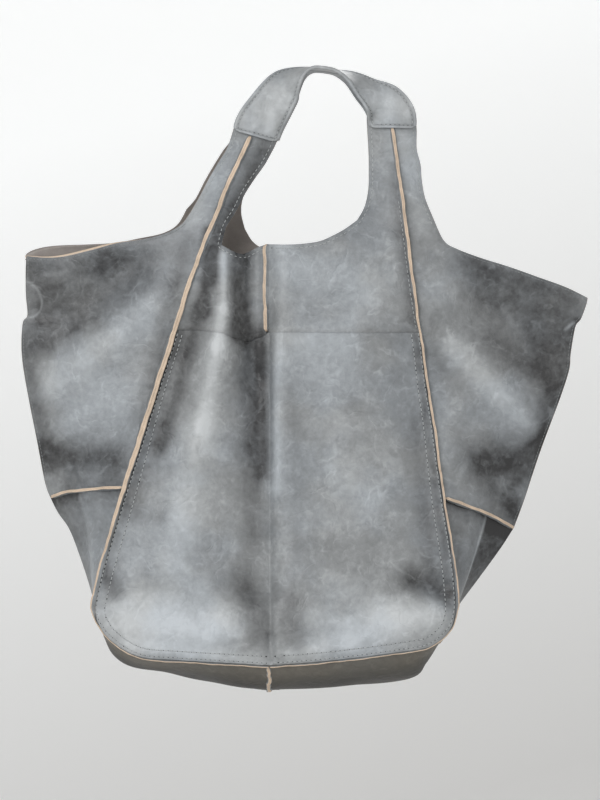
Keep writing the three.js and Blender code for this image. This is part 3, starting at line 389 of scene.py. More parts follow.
def chained(lines, until):
    """Several tracks end to end; until holds the share at which each one is left."""
    starts = [0, *until[:-1]]
    shares = np.concatenate([a + line[0] * (b - a) for line, a, b in zip(lines, starts, until)])
    return shares, np.vstack([line[1] for line in lines])


def paced(line, stops, until):
    """The same track, reparametrised so that it passes the depths in stops at the shares in until."""
    shares, points = line
    arcs = np.interp(np.array(stops) * DROP, -points[:, 1], shares)
    return np.interp(shares, [0, *arcs, 1], [0, *until, 1]), points


def stretch(line, start, end, samples=300):
    """The part of a track between two depths, shares of DROP."""
    ends = np.interp(np.array([start, end]) * DROP, -line[1][:, 1], line[0])
    return measured(at(line, np.linspace(*ends, samples)))


def straight(a, b):
    """The straight track from a to b."""
    return np.array([0, 1]), np.array([a, b])


def coons(near, far, top, bottom, u, v):
    """Coons' patch on the grid v by u: the blend of near and far over u, plus the blend of top and bottom
    over v, less the blend of the four corners over both."""
    uu, vv = u[None, :, None], v[:, None, None]
    sides = at(near, v)[:, None] * (1 - uu) + at(far, v)[:, None] * uu
    ends = at(top, u)[None] * (1 - vv) + at(bottom, u)[None] * vv
    first = near[1][0] * (1 - uu) + far[1][0] * uu
    last = near[1][-1] * (1 - uu) + far[1][-1] * uu
    return sides + ends - first * (1 - vv) - last * vv


# The leather's face: one depth in front of (or behind) the middle plane for each point of the front view
def smooth(start, end, at_value):
    """3 t^2 - 2 t^3 between start and end."""
    t = np.clip((at_value - start) / (end - start), 0, 1)
    return t * t * (3 - 2 * t)


def lookup(rows, share, scale):
    """The table's first column at the depth share, straight between its rows."""
    table = np.array(rows)
    return np.interp(share, table[:, 1], table[:, 0]) * scale


def seams_at(z):
    """The x of both strap seams at the height z, above their turn under the corners."""
    return [lookup(SEAM[hand][:-TURN_ROWS], -z / DROP, REACH) for hand in HANDS]


def off_segment(x, z, ax, az, dx, dz):
    """The squared distance of points of the front view from the segment that starts at a and runs by d."""
    t = np.clip(((x - ax) * dx + (z - az) * dz) / (dx * dx + dz * dz), 0, 1)
    return (x - ax - t * dx) ** 2 + (z - az - t * dz) ** 2


def bell(rows, x, z, scale):
    """The sum of folds: rise times exp(-(distance to the segment / width)^2) for each row."""
    total = np.zeros_like(x)
    for x1, z1, x2, z2, width, rise in rows:
        ax, az = x1 * REACH, -z1 * DROP
        squared = off_segment(x, z, ax, az, x2 * REACH - ax, -z2 * DROP - az)
        total += rise * MM * np.exp(-squared / (width * scale) ** 2)
    return total


def near_line(rows, x, z, width):
    """exp(-(distance to the smooth line through the rows / width)^2)."""
    line = track(placed(rows), 4)[1]
    squared = np.min([off_segment(x, z, *a, *(b - a)) for a, b in zip(line[:-1], line[1:])], axis=0)
    return np.exp(-squared / width**2)


def seeded_creases(seed, count, depth):
    """Short creases strewn over the front view, 8 to 30 mm long and mostly running down and across: rows
    as in FRONT_CREASES. A third of them stand out instead of sinking in."""
    draw = np.random.default_rng(seed)
    x, z = draw.uniform(-0.98, 0.92, count), draw.uniform(0.2, 0.98, count)
    angle = draw.normal(0.9, 0.75, count) * draw.choice([-1, 1], count)
    half = draw.uniform(4, 15, count) * MM
    dx, dz = half * np.cos(angle) / REACH, half * np.sin(angle) / DROP
    width = draw.uniform(1.6, 3.2, count)
    rise = -depth / MM * draw.uniform(0.4, 1, count) * draw.choice([1, 1, -0.8], count)
    return np.stack([x - dx, z - dz, x + dx, z + dz, width, rise], 1)


def waves(seed, x, z, height):
    """Soft waves: the sum of twelve sines in seeded directions, 45 to 130 mm long, over the spread that
    such a sum has, times height."""
    draw = np.random.default_rng(seed)
    count, spread = 12, 3.5
    angles, lengths, phases = (draw.uniform(*ends, count) for ends in ((0, np.pi), (45, 130), (0, 6.3)))
    total = np.zeros_like(x)
    for angle, length, phase in zip(angles, lengths * MM, phases):
        total += np.sin((x * np.cos(angle) + z * np.sin(angle)) * 2 * np.pi / length + phase)
    return total * height / spread


def puckers(x, z, distance):
    """Ripples that a seam pulls into the leather: a sine of the depth every 26 mm or so, wandering with x
    and z, that fades in 14 mm from the seam."""
    height, pitch, reach = 0.55 * MM, 26 * MM, 14 * MM
    along = z * 2 * np.pi / pitch + 1.7 * np.sin(z * 55) + np.sin(x * 40)
    return height * np.sin(along) * np.exp(-distance / reach)


def profile(z):
    """The side view's half depth: straight straps at the top, easing into the body's table."""
    share = -z / DROP
    table = np.array(SIDE_PROFILE)
    body = np.interp(share, table[:, 0], table[:, 1]) * HALF_DEPTH
    return HALF_SPREAD + (body - HALF_SPREAD) * smooth(*PROFILE_RAMP, share)


def face(side, x, z, fine=True):
    """How far the leather's face stands from the middle plane, and its tone of painted light and shade.

    Between the seams: the profile plus a crown 1 - t^2. On a wing: from the profile down to the tip,
    (1 - t)(1 + bulge t). On a strap: falls from the seam like a roof. Folds, creases and waves on top;
    they die out towards the wings' tips, and fine leaves the small ones out."""
    share = -z / DROP
    left, right = seams_at(z)
    left_tip = lookup(LEFT_TIP + LEFT_SIDE_LINE[1:], share, REACH)
    right_tip = lookup(RIGHT_TIP + RIGHT_SIDE_LINE[1:], share, REACH)
    level = profile(z)
    left_out = (left - x) / np.maximum(LEAST_WING, left - left_tip)
    right_out = (x - right) / np.maximum(LEAST_WING, right_tip - right)
    out = np.clip(np.maximum(left_out, right_out), 0, 1)
    middle = (left + right) / 2
    crown = np.where(out > 0, 0, PANEL_CROWN * level * (1 - ((x - middle) / (right - middle)) ** 2))
    bowed = crown * (1 - smooth(BELLY, 1, share))
    strap = 1 - smooth(*STRAP_RAMP, share)
    to_seam = np.minimum(abs(x - left), abs(x - right))
    opened = TIP_DEPTH + (level - TIP_DEPTH) * (1 - out) * (1 + WING_BULGE * out)
    calm = (1 - out**4) * smooth(*FOLD_RAMP, share)
    off_tip = 1 - out**8
    folds = bell(FRONT_FOLDS if side == FRONT else BACK_FOLDS, x, z, REACH)
    depth = opened + bowed * (1 - strap) - strap * STRAP_FALL * to_seam + calm * folds
    if fine:
        at_tips = 0.3  # share of the small relief that stays where the folds die out
        sizes = bpy.context.scene.tote_sizes
        seed = 11 if side == FRONT else 23
        small = bell(seeded_creases(seed, 170, sizes.crease_depth), x, z, MM)
        if side == FRONT:
            small = small + bell(FRONT_CREASES, x, z, MM)
        ripple = puckers(x, z, to_seam) * (1 - strap)
        small = small + waves(seed, x, z, sizes.sway) + ripple
        depth = depth + off_tip * (at_tips + (1 - at_tips) * calm) * small
    # the tone is painted light and shade: on the back, light on the folds' ridges and shade in their hollows;
    # on the front, the listed strokes and a painted highlight along the tip crease
    tone = folds / BACK_SHADING_RISE
    if side == FRONT:
        tone = bell(FRONT_SHADING_AND_WEAR, x, z, REACH) / MM + 0.55 * near_line(TIP_CREASE, x, z, 1.3 * MM)
        depth = depth - 0.9 * MM * near_line(TIP_CREASE, x, z, 2.6 * MM) * off_tip
    return np.maximum(TIP_DEPTH, depth), np.clip(tone, *TONE_RANGE)


def slopes(side, x, z):
    """The slopes of the face without its small relief along x and z, by differences over 4 mm."""
    step = 2 * MM
    dx = (face(side, x + step, z, False)[0] - face(side, x - step, z, False)[0]) / (2 * step)
    dz = (face(side, x, z + step, False)[0] - face(side, x, z - step, False)[0]) / (2 * step)
    return dx, dz


def wall_depth(side, x, z):
    """The wall's thickness along Y that measures LEATHER square to the face, twice LEATHER at most."""
    dx, dz = slopes(side, x, z)
    return LEATHER * np.minimum(2, np.sqrt(1 + dx**2 + dz**2))


# Meshes
def quads(rows, columns, wrap=False):
    """The quads of a grid of rows by columns points; wrap joins the last column to the first."""
    r, c = np.meshgrid(np.arange(rows - 1), np.arange(columns if wrap else columns - 1), indexing="ij")
    a, b = r * columns + c, r * columns + (c + 1) % columns
    return np.stack([a, b, b + columns, a + columns], -1).reshape(-1, 4)


def signed_volume(points, faces):
    """Six times the volume inside the quads, negative where they face inwards."""
    a, b, c, d = (points[faces[:, i]] for i in range(4))
    return np.einsum("ij,ij->", a, np.cross(b, c)) + np.einsum("ij,ij->", a, np.cross(c, d))


def piece(name, points, faces, finishes, kinds, flat=None, lit=None, nodes=()):
    """Puts a closed mesh into the scene, its faces outward, and lets it ride on the bag. The faces are
    quads; one that names a corner twice in a row is a triangle. kinds holds each face's finish."""
    points, faces = points.reshape(-1, 3), np.asarray(faces)
    if signed_volume(points, faces) < 0:
        faces = faces[:, ::-1]
    corners = faces != np.roll(faces, 1, axis=1)
    counts = corners.sum(axis=1)
    mesh = bpy.data.meshes.new(name)
    mesh.vertices.add(len(points))
    mesh.vertices.foreach_set("co", points.astype(np.float32).ravel())
    mesh.loops.add(int(counts.sum()))
    mesh.loops.foreach_set("vertex_index", faces[corners].astype(np.int32))
    mesh.polygons.add(len(faces))
    mesh.polygons.foreach_set("loop_start", (np.cumsum(counts) - counts).astype(np.int32))
    for finish in finishes:
        mesh.materials.append(finish)
    mesh.polygons.foreach_set("material_index", np.asarray(kinds, np.int32))
    mesh.polygons.foreach_set("use_smooth", np.ones(len(faces), bool) if flat is None else ~flat)
    # the stretch attribute carries the tone of painted light and shade to the leather's material
    if lit is not None:
        values = mesh.attributes.new("stretch", "FLOAT", "POINT")
        values.data.foreach_set("value", lit.astype(np.float32).ravel())
    mesh.update(calc_edges=True)
    mesh.validate()
    made = bpy.data.objects.new(name, mesh)
    bpy.context.scene.collection.objects.link(made)
    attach(made, "root")
    if nodes:
        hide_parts(*nodes)
    return made


def shell(name, outer, inner, finishes, lit, nodes=()):
    """A wall between two grids of points: both skins, and a strip round the edge that joins them.
    The finishes are those of the outer skin, the inner skin and the edge."""
    rows, columns = outer.shape[:2]
    count = rows * columns
    skin = quads(rows, columns)
    ids = np.arange(count).reshape(rows, columns)
    loop = np.concatenate([ids[0, :-1], ids[:-1, -1], ids[-1, :0:-1], ids[:0:-1, 0]])
    after = np.roll(loop, -1)
    strip = np.stack([after, loop, loop + count, after + count], 1)
    faces = np.vstack([skin, skin[:, ::-1] + count, strip])
    kinds = np.repeat([0, 1, 2], [len(skin), len(skin), len(strip)])
    values = np.concatenate([lit.ravel(), lit.ravel()])
    points = np.concatenate([outer.reshape(-1, 3), inner.reshape(-1, 3)])
    return piece(name, points, faces, finishes, kinds, kinds == 2, values, nodes)


def leather_shell(name, grid, side, lift=0.0, rim=None, shade=0.0, joined=0.0, nodes=()):
    """A leather wall over a grid of the front view. lift moves it out of the bag's face, shade is added to
    its tone, joined is 1 where the inner skin is sewn to the other side's, and rim holds for each row the
    share of a wall by which the inner skin's last column stands past the outer, to show the cut edge."""
    x, z = grid[..., 0], grid[..., 1]
    depth, tone = face(side, x, z)
    depth = depth + lift
    loose = np.maximum(GAP / 2, depth - wall_depth(side, x, z))
    outer = np.stack([x, side * depth, z], -1)
    inner = np.stack([x, side * (loose * (1 - joined) - SEWN_PAST * joined), z], -1)
    if rim is not None:
        away = inner[:, -1] - inner[:, -2]
        away[:, 1] = 0
        inner[:, -1] += unit(away) * LEATHER * rim[:, None]
    return shell(name, outer, inner, [leather(), flesh(), raw_edge()], tone + shade, nodes=nodes)


# The bag's lines
def strap_seam(hand):
    """A strap seam's track, from the handle to the bottom corner."""
    return outline(SEAM[hand])


# Shares of a grid's rows at which it passes the handle's end (both its sides), the strap's foot, the
# end of the rim and, on a panel, the belly
PANEL_ROWS = (0.09, 0.105, 0.3, 0.42, 0.8)
WING_ROWS = (0.09, 0.105, 0.26, 0.52)
PATCH_STEP = 0.01  # share of DROP that the rows by the handle's end take
PANEL_EDGE = 0.004  # share of a grid's width that it keeps off the seam beside it
POCKET_BELLY = 0.6  # share of the pocket's rows at which it passes the belly


def panel_grid(hand, side, rows, columns):
    """Half of the front or back panel: from the strap seam to the strap's inner edge, rim and centre seam."""
    inner, rim, stops = {
        ("left", FRONT): (LEFT_STRAP_INNER, LEFT_RIM_INNER, (0.262, 0.36)),
        ("left", BACK): (BACK_LEFT_STRAP_INNER, BACK_LEFT_RIM_INNER, (0.262, 0.36)),
    }.get((hand, side), (RIGHT_STRAP_INNER, RIGHT_RIM_INNER, (0.25, 0.36)))
    ends = (PATCH_END[hand], PATCH_END[hand] + PATCH_STEP)
    near = paced(strap_seam(hand), (*ends, *stops, BELLY), PANEL_ROWS)
    foot, rim_end, belly = PANEL_ROWS[2:]
    centre = stretch(outline(CENTRE_SEAM), rim[-1][1], CENTRE_SEAM[-1][1])
    centre = paced(centre, (BELLY,), ((belly - rim_end) / (1 - rim_end),))
    far = chained([outline(inner), outline(rim), centre], (foot, rim_end, 1))
    u = np.linspace(PANEL_EDGE, 1 - PANEL_EDGE, columns)
    top = straight(near[1][0], far[1][0])
    return coons(near, far, top, outline(BOTTOM[hand]), u, np.linspace(0, 1, rows))


def wing_grid(hand, side, rows, columns):
    """A wing with the outer half of its strap: from the strap seam to the strap's outer edge, rim and tip."""
    edges = {
        ("left", FRONT): (LEFT_STRAP_OUTER, LEFT_RIM_OUTER, LEFT_TIP),
        ("left", BACK): (BACK_LEFT_STRAP_OUTER, BACK_LEFT_RIM_OUTER, LEFT_TIP),
    }.get((hand, side), (RIGHT_STRAP_OUTER, RIGHT_RIM_OUTER, RIGHT_TIP))
    cross = CROSS_SEAM[hand]
    stops = (PATCH_END[hand], PATCH_END[hand] + PATCH_STEP, 0.25, 0.4)
    near = paced(stretch(strap_seam(hand), 0.07, cross[0][1]), stops, WING_ROWS)
    far = chained([outline(edge) for edge in edges], (*WING_ROWS[2:], 1))
    top = straight(near[1][0], far[1][0])
    return coons(near, far, top, outline(cross), np.linspace(PANEL_EDGE, 1, columns), np.linspace(0, 1, rows))


def pocket_lift(x, z):
    """How far the pocket's face stands out of the panel's: one leather with its clearance, and 4 mm more
    where its mouth gapes over the fold in the left half."""
    fold, half_width, reach = -0.24, 0.09, 0.12  # shares of REACH and, down the pocket, of DROP
    share = -z / DROP
    across = np.exp(-(((x / REACH - fold) / half_width) ** 2))
    gape = across * (1 - smooth(POCKET_TOP, POCKET_TOP + reach, share))
    return 1.25 * LEATHER + 0.6 * MM + 4 * MM * gape


def pocket_grid(rows, columns):
    """The pocket, from the left strap seam over the centre to the right one."""
    side_inset, last_row = 1.2 * MM, 0.994
    belly = ((BELLY,), (POCKET_BELLY,))
    middle = paced(stretch(outline(CENTRE_SEAM), POCKET_TOP, CENTRE_SEAM[-1][1]), *belly)
    halves = []
    for hand, mouth in (("left", POCKET_MOUTH_LEFT), ("right", POCKET_MOUTH_RIGHT)):
        near = paced(stretch(strap_seam(hand), mouth[0][1], SEAM_FOOT), *belly)
        u = np.linspace(side_inset / (abs(mouth[0][0] - mouth[-1][0]) * REACH), 1, columns)
        v = np.linspace(0, last_row, rows)
        halves.append(coons(near, middle, outline(mouth), outline(BOTTOM[hand]), u, v))
    return np.concatenate([halves[0], halves[1][:, -2::-1]], 1)


def side_piece(hand, side, rows, columns):
    """A lower side piece and its tone of painted light and shade: a patch between the strap seam and the side
    line, its depth falling from behind the panel to the tip by w^1.15, with one soft ridge down its middle.
    Its foot dips to meet the base's end."""
    behind_panel, base_overlap, ridge = 0.4 * MM, 0.6 * MM, 4.5 * MM
    behind_shade, crest_light = (0.3, 0) if hand == "left" else (0.65, 0.7)
    near, far = stretch(strap_seam(hand), CROSS_SEAM[hand][0][1], SEAM_FOOT), outline(SIDE_LINE[hand])
    v, w = np.linspace(0.002, 1, rows), np.linspace(0, 1, columns)
    down, over = v[:, None], w[None]
    grid = coons(near, far, outline(CROSS_SEAM[hand]), straight(near[1][-1], far[1][-1]), w, v)
    dip = (BASE_LINE[hand][0][1] - BOTTOM[hand][0][1]) * DROP
    grid[..., 1] -= (dip * (1 - (1 - over) ** 3) + base_overlap) * smooth(0.85, 1, down)
    x, z = grid[..., 0], grid[..., 1]
    start = at(near, v)
    depth = face(side, start[:, 0], start[:, 1], False)[0] - wall_depth(side, start[:, 0], start[:, 1])
    depth = depth - behind_panel
    tip = TIP_DEPTH + (GAP - TIP_DEPTH) * smooth(0, 0.8, v)
    fall = depth[:, None] + (tip - depth)[:, None] * over**1.15
    hump = np.exp(-(((over - 0.42 - 0.12 * down) / 0.16) ** 2)) * np.sin(np.pi * w)[None]
    small = waves(31, x, z, 0.8 * MM) + bell(seeded_creases(37, 120, 0.7 * MM), x, z, MM)
    relief = (ridge * hump * (1 - down**2) + small) * np.sin(np.pi * w)[None] ** 0.5
    # painted light and shade: a painted shadow under the cross seam, painted shade on the part behind the
    # ridge, and painted light on the ridge and its crest
    seam_shadow = np.exp(-((down / 0.09) ** 2))
    behind = behind_shade * smooth(0.58, 0.64, over)
    highlit = crest_light * np.exp(-(((over - 0.6) / 0.02) ** 2))
    tone = -0.25 + 0.2 * hump - 0.6 * seam_shadow - behind + highlit
    return np.stack([x, side * np.maximum(GAP / 2, fall + relief), z], -1), tone


def inward_offset(points, inside, thickness):
    """Points moved square to the grid's surface by thickness, towards the side that inside looks to."""
    normal = unit(np.cross(np.gradient(points, axis=0), np.gradient(points, axis=1)))
    normal *= np.where(np.einsum("rci,i->rc", normal, np.array(inside, float)) < 0, -1, 1)[..., None]
    return points + normal * thickness


# Materials
class Graph:
    """A node tree that is written one node a line."""

    def __init__(self, name):
        self.material = bpy.data.materials.new(name)
        self.material.use_nodes = True
        self.tree = self.material.node_tree
        self.shader = self.tree.nodes["Principled BSDF"]
        self.coordinates = self.node("ShaderNodeTexCoord").outputs["Object"]

    def node(self, kind, settings=None, **inputs):
        """Adds a node; inputs are numbers or the sockets of other nodes."""
        made = self.tree.nodes.new(kind)
        for key, value in (settings or {}).items():
            setattr(made, key, value)
        for key, value in inputs.items():
            self.put(made.inputs[key.replace("_", " ")], value)
        return made

    def put(self, socket, value):
        """Links a socket to another or sets its number."""
        if isinstance(value, bpy.types.NodeSocket):
            self.tree.links.new(value, socket)
        else:
            socket.default_value = value

    def noise(self, scale, detail=4, roughness=0.5, distortion=0.0, vector=None):
        """Noise from 0 to 1, with scale in features a metre."""
        made = self.node(
            "ShaderNodeTexNoise", Vector=vector or self.coordinates, Scale=scale, Detail=detail,
            Roughness=roughness, Distortion=distortion,
        )
        return made.outputs["Fac"]

    def cells(self, scale, vector):
        """Distances in a pattern of cells, with scale in cells a metre."""
        return self.node("ShaderNodeTexVoronoi", Vector=vector, Scale=scale).outputs["Distance"]

    def sum(self, *terms):
        """The sum of (socket, factor, offset) terms: factor times socket plus offset."""
        total = None
        for socket, factor, offset in terms:
            made = self.node("ShaderNodeMath", {"operation": "MULTIPLY_ADD"})
            self.put(made.inputs[0], socket)
            made.inputs[1].default_value = factor
            made.inputs[2].default_value = offset
            if total is None:
                total = made.outputs[0]
            else:
                added = self.node("ShaderNodeMath", {"operation": "ADD"})
                self.put(added.inputs[0], total)
                self.put(added.inputs[1], made.outputs[0])
                total = added.outputs[0]
        return total

    def ridge(self, socket, width):
        """Thin lines where the socket crosses a half, fading to nothing at width from it."""
        centred = self.sum((socket, 1, -0.5))
        made = self.node("ShaderNodeMath", {"operation": "ABSOLUTE"})
        self.put(made.inputs[0], centred)
        return self.ramp(made.outputs[0], 0, width, 1, 0)

    def product(self, a, b):
        """a times b."""
        made = self.node("ShaderNodeMath", {"operation": "MULTIPLY"})
        self.put(made.inputs[0], a)
        self.put(made.inputs[1], b)
        return made.outputs[0]

    def ramp(self, socket, start, end, low=0.0, high=1.0):
        """From low to high as the socket goes from start to end, held at both ends."""
        made = self.node("ShaderNodeMapRange", {"interpolation_type": "SMOOTHSTEP"}, Value=socket)
        for key, value in (("From Min", start), ("From Max", end), ("To Min", low), ("To Max", high)):
            made.inputs[key].default_value = value
        return made.outputs["Result"]

    def colours(self, socket, stops):
        """A colour ramp over stops of (place, colour)."""
        made = self.node("ShaderNodeValToRGB", Fac=socket)
        elements = made.color_ramp.elements
        while len(elements) < len(stops):
            elements.new(0.5)
        for element, (place, colour) in zip(elements, stops):
            element.position = place
            element.color = (*colour, 1)
        return made.outputs["Color"]

    def mixed(self, share, a, b):
        """From colour a to colour b by share."""
        made = self.node("ShaderNodeMix", {"data_type": "RGBA"})
        self.put(made.inputs[0], share)
        for socket, value in ((made.inputs[6], a), (made.inputs[7], b)):
            self.put(socket, value if isinstance(value, bpy.types.NodeSocket) else (*value, 1))
        return made.outputs[2]

    def bump(self, height, strength, millimetres, under=None):
        """Bumps of a height map, on top of those under it."""
        made = self.node("ShaderNodeBump", Height=height, Strength=strength, Distance=millimetres * MM)
        if under is not None:
            self.put(made.inputs["Normal"], under)
        return made.outputs["Normal"]

    def finish(self, colour, roughness, normal):
        """Wires the shader."""
        self.put(self.shader.inputs["Base Color"], colour)
        self.put(self.shader.inputs["Roughness"], roughness)
        self.put(self.shader.inputs["Normal"], normal)
        return self.material


def once(name, build):
    """A material by name, built at its first use."""
    return bpy.data.materials.get(name) or build(Graph(name))


COOL, WARM = (0.98, 1.0, 1.025), (1.01, 1.0, 0.985)  # tints that drift over the leather
# Noise in the leather: features a metre, detail, roughness and distortion
CLOUDS, BLOTCHES, FLECKS = (6.5, 4, 0.5), (30, 6, 0.58, 0.5), (150, 4, 0.6, 0.3)
VEINS, SMALL_VEINS = (22, 2, 0.5, 0.5), (48, 2, 0.5, 0.4)
VEINS_HERE, SMALL_VEINS_HERE = (40, 3, 0.6), (58, 3, 0.6, 0.5)
TINT_DRIFT = (11, 3, 0.5)
PEBBLES = 820  # cells a metre
WANDER = 0.035  # how far veins and pebbles are bent out of their pattern, in metres


def distressed(graph, dark, middle, light, spread, roughness):
    """Waxed, distressed leather: clouds and blotches round the middle colour, darker under painted shade and
    lighter under painted light, both from the stretch attribute, with fine pale crease marks and a pebbled
    grain."""
    bend = graph.node("ShaderNodeVectorMath", {"operation": "MULTIPLY_ADD"})
    wander = graph.node("ShaderNodeTexNoise", Vector=graph.coordinates, Scale=26.0, Detail=4.0)
    graph.put(bend.inputs[0], wander.outputs["Color"])
    bend.inputs[1].default_value = (WANDER, WANDER, WANDER)
    graph.put(bend.inputs[2], graph.coordinates)
    bent = bend.outputs["Vector"]
    # the stretch attribute holds painted light and shade, not stretch
    painted_light_and_shade = graph.node("ShaderNodeAttribute", {"attribute_name": "stretch"}).outputs["Fac"]
    clouds, blotches, flecks = graph.noise(*CLOUDS), graph.noise(*BLOTCHES), graph.noise(*FLECKS)
    veins = graph.ridge(graph.noise(*VEINS, bent), 0.05)
    small_veins = graph.ridge(graph.noise(*SMALL_VEINS, bent), 0.08)
    here = graph.ramp(graph.noise(*VEINS_HERE), 0.46, 0.7)
    there = graph.ramp(graph.noise(*SMALL_VEINS_HERE), 0.44, 0.7)
    worn = graph.product(veins, here)
    marks = graph.sum((worn, 0.1, 0), (graph.product(small_veins, there), 0.1, 0))
    tone = graph.sum(
        (clouds, 0.75 * spread, 0.5 - 0.375 * spread), (blotches, 0.62 * spread, -0.31 * spread),
        (flecks, 0.5 * spread, -0.25 * spread), (painted_light_and_shade, 0.4, 0), (marks, 1, 0),
    )
    stops = list(zip((0.08, 0.5, 0.92), (dark, middle, light)))
    tinted = [
        graph.colours(tone, [(place, tuple(np.multiply(colour, tint))) for place, colour in stops])
        for tint in (COOL, WARM)
    ]
    ground = graph.mixed(graph.ramp(graph.noise(*TINT_DRIFT), 0.38, 0.62), *tinted)
    pits = graph.bump(graph.cells(PEBBLES, bent), 0.25, 0.25)
    relief = graph.sum((veins, -0.6, 0), (blotches, 0.8, 0), (small_veins, -0.3, 0))
    gloss = graph.sum((blotches, 0.22, roughness - 0.11), (worn, 0.12, 0))
    return graph.finish(ground, gloss, graph.bump(relief, 0.5, 0.7, pits))


def colours_of(*names):
    """Colours of the finish settings, as tuples."""
    settings = bpy.context.scene.tote_finish
    return [tuple(getattr(settings, name)) for name in names]


def leather():
    """The grey leather of the body."""
    colours, gloss = colours_of("dark", "middle", "light"), bpy.context.scene.tote_finish.gloss
    return once("distressed_grey_leather", lambda graph: distressed(graph, *colours, 0.55, gloss))


def base_leather():
    """The darker, duller leather of the base."""
    colours = colours_of("base_dark", "base_middle", "base_light")
    return once("distressed_base_leather", lambda graph: distressed(graph, *colours, 0.5, 0.55))


def dimmed(colour, share):
    """A colour times share."""
    return tuple(share * part for part in colour)


def fibrous(name, colour, depth, shade):
    """Cut or brushed leather, or thread: fibres as fine noise, from shade times the colour up to the
    colour, with bumps as deep as depth in mm."""

    def build(graph):
        fibres, patches = graph.noise(900, 3, 0.7), graph.noise(70, 4, 0.6)
        tone = graph.sum((fibres, 0.6, -0.3), (patches, 1.2, -0.1))
        ground = graph.colours(tone, ((0.1, dimmed(colour, shade)), (0.75, colour)))
        return graph.finish(ground, 0.92, graph.bump(fibres, 0.6, depth))

    return once(name, build)


def flesh():
    """The flesh side, which shows inside the bag."""
    return fibrous("flesh_side", *colours_of("flesh"), 0.25, 0.72)


def raw_edge():
    """The cut edge of the leather."""
    return fibrous("raw_edge", *colours_of("raw"), 0.4, 0.66)


def thread():
    """Waxed thread."""
    return fibrous("thread", *colours_of("thread"), 0.1, 0.7)


def worn_thread():
    """Thread that has taken up the leather's wax, along the rims."""
    return fibrous("worn_thread", dimmed(*colours_of("thread"), 0.5), 0.1, 0.7)


def needle_hole():
    """The dark of a needle hole."""
    return fibrous("needle_hole", dimmed(*colours_of("dark"), 0.5), 0.1, 0.6)


# Raw seams and stitches
def wobble(seed, distance, wavelength):
    """A seeded wavy line between about -1 and 1: three sines of falling wavelength."""
    phases = np.random.default_rng(seed).uniform(0, 6.3, 3)
    return sum(
        np.sin(distance * 2 * np.pi / (wavelength / k) + phase) / (k + 0.5)
        for k, phase in zip((1, 2.3, 4.1), phases)
    )


def frame_along(points, normals):
    """Tangent, side direction and true normal at each point of a line on a surface."""
    tangent = unit(np.gradient(points, axis=0))
    across = unit(np.cross(tangent, normals))
    return tangent, across, np.cross(across, tangent)


RAW_PROFILE = np.array([  # across (half widths), out (heights): up the fillet, over two layers, and down
    (-1.7, -0.25), (-1.35, 0.05), (-1.14, 0.3), (-1.06, 0.62), (-1.0, 0.9), (-0.82, 1.0), (-0.45, 1.02),
    (-0.12, 0.96), (0, 0.84), (0.12, 0.96), (0.45, 1.02), (0.82, 1.0), (1.0, 0.9), (1.06, 0.62),
    (1.14, 0.3), (1.35, 0.05), (1.7, -0.25), (0, -0.5),
])
TOP_OF_PROFILE = range(4, 12)
FOOT_OF_PROFILE = 0.1  # heights below which a point belongs to the foot
TAPER = 3 * MM  # length over which a raw seam's ends thin out


def raw_seam(name, points, normals, half, height, seed, sink=0.0, slot="grey_leather"):
    """A raw seam carried along points: two turned-out layers side by side, their cut edges on top. Its
    half width and height waver along the seam, and sink is how much deeper its foot reaches."""
    distance = distances(points)
    _, across, out = frame_along(points, normals)
    ends = smooth(0, TAPER, distance) * smooth(0, TAPER, distance[-1] - distance)
    half = half * (1 + 0.08 * wobble(seed, distance, 34 * MM)) * (0.6 + 0.4 * ends)
    height = height * (1 + 0.14 * wobble(seed + 1, distance, 41 * MM)) * (0.35 + 0.65 * ends)
    lean = 0.45 * MM * wobble(seed + 2, distance, 55 * MM)
    aside, up = RAW_PROFILE.T[:, None]
    b = aside * half[:, None] + lean[:, None] * np.maximum(0, up)
    n = up * height[:, None] - (up < FOOT_OF_PROFILE) * np.broadcast_to(sink, distance.shape)[:, None]
    grid = points[:, None] + across[:, None] * b[..., None] + out[:, None] * n[..., None]
    count, around = grid.shape[:2]
    sides = quads(count, around, wrap=True)
    top = np.isin(np.arange(len(sides)) % around, TOP_OF_PROFILE)
    # each end is closed by quads that fold the profile's left half onto its right
    left, right = np.arange(8), np.arange(16, 8, -1)
    cap = np.vstack([np.stack([left, left + 1, right - 1, right], 1), [[0, 16, 17, 17]]])
    faces = np.vstack([sides, cap[:, ::-1], cap + (count - 1) * around])
    kinds = np.concatenate([top.astype(int), np.zeros(2 * len(cap), int)])
    return piece(name, grid, faces, [leather(), raw_edge()], kinds)


def seam_share(hand, share):
    """Half width of a strap seam down the bag, as a share of the seam_half setting: it widens above the
    pocket's middle on the left, and thins to a line round the bottom corners."""
    above, middle, below = (0.82, 1, 0.5) if hand == "left" else (0.66, 0.48, 0.34)
    half = above + (middle - above) * smooth(0.3, 0.44, share)
    half = half + (below - half) * smooth(0.6, 0.86, share)
    return half + (0.2 - half) * smooth(0.86, 0.92, share)


def on_face(side, line, lift=0.0):
    """Points and outward normals on the leather's face along a line of the front view."""
    x, z = line[:, 0], line[:, 1]
    depth = face(side, x, z)[0] + lift
    dx, dz = slopes(side, x, z)
    return np.stack([x, side * depth, z], 1), unit(np.stack([-dx, np.full_like(x, side), -dz], 1))


STITCH = np.array([  # one stitch: how far along (half lengths), and how thick there (of the thread)
    (-1.0, 0.35), (-0.62, 1.0), (0.62, 1.0), (1.0, 0.35),
])
STITCH_SIDES = 6


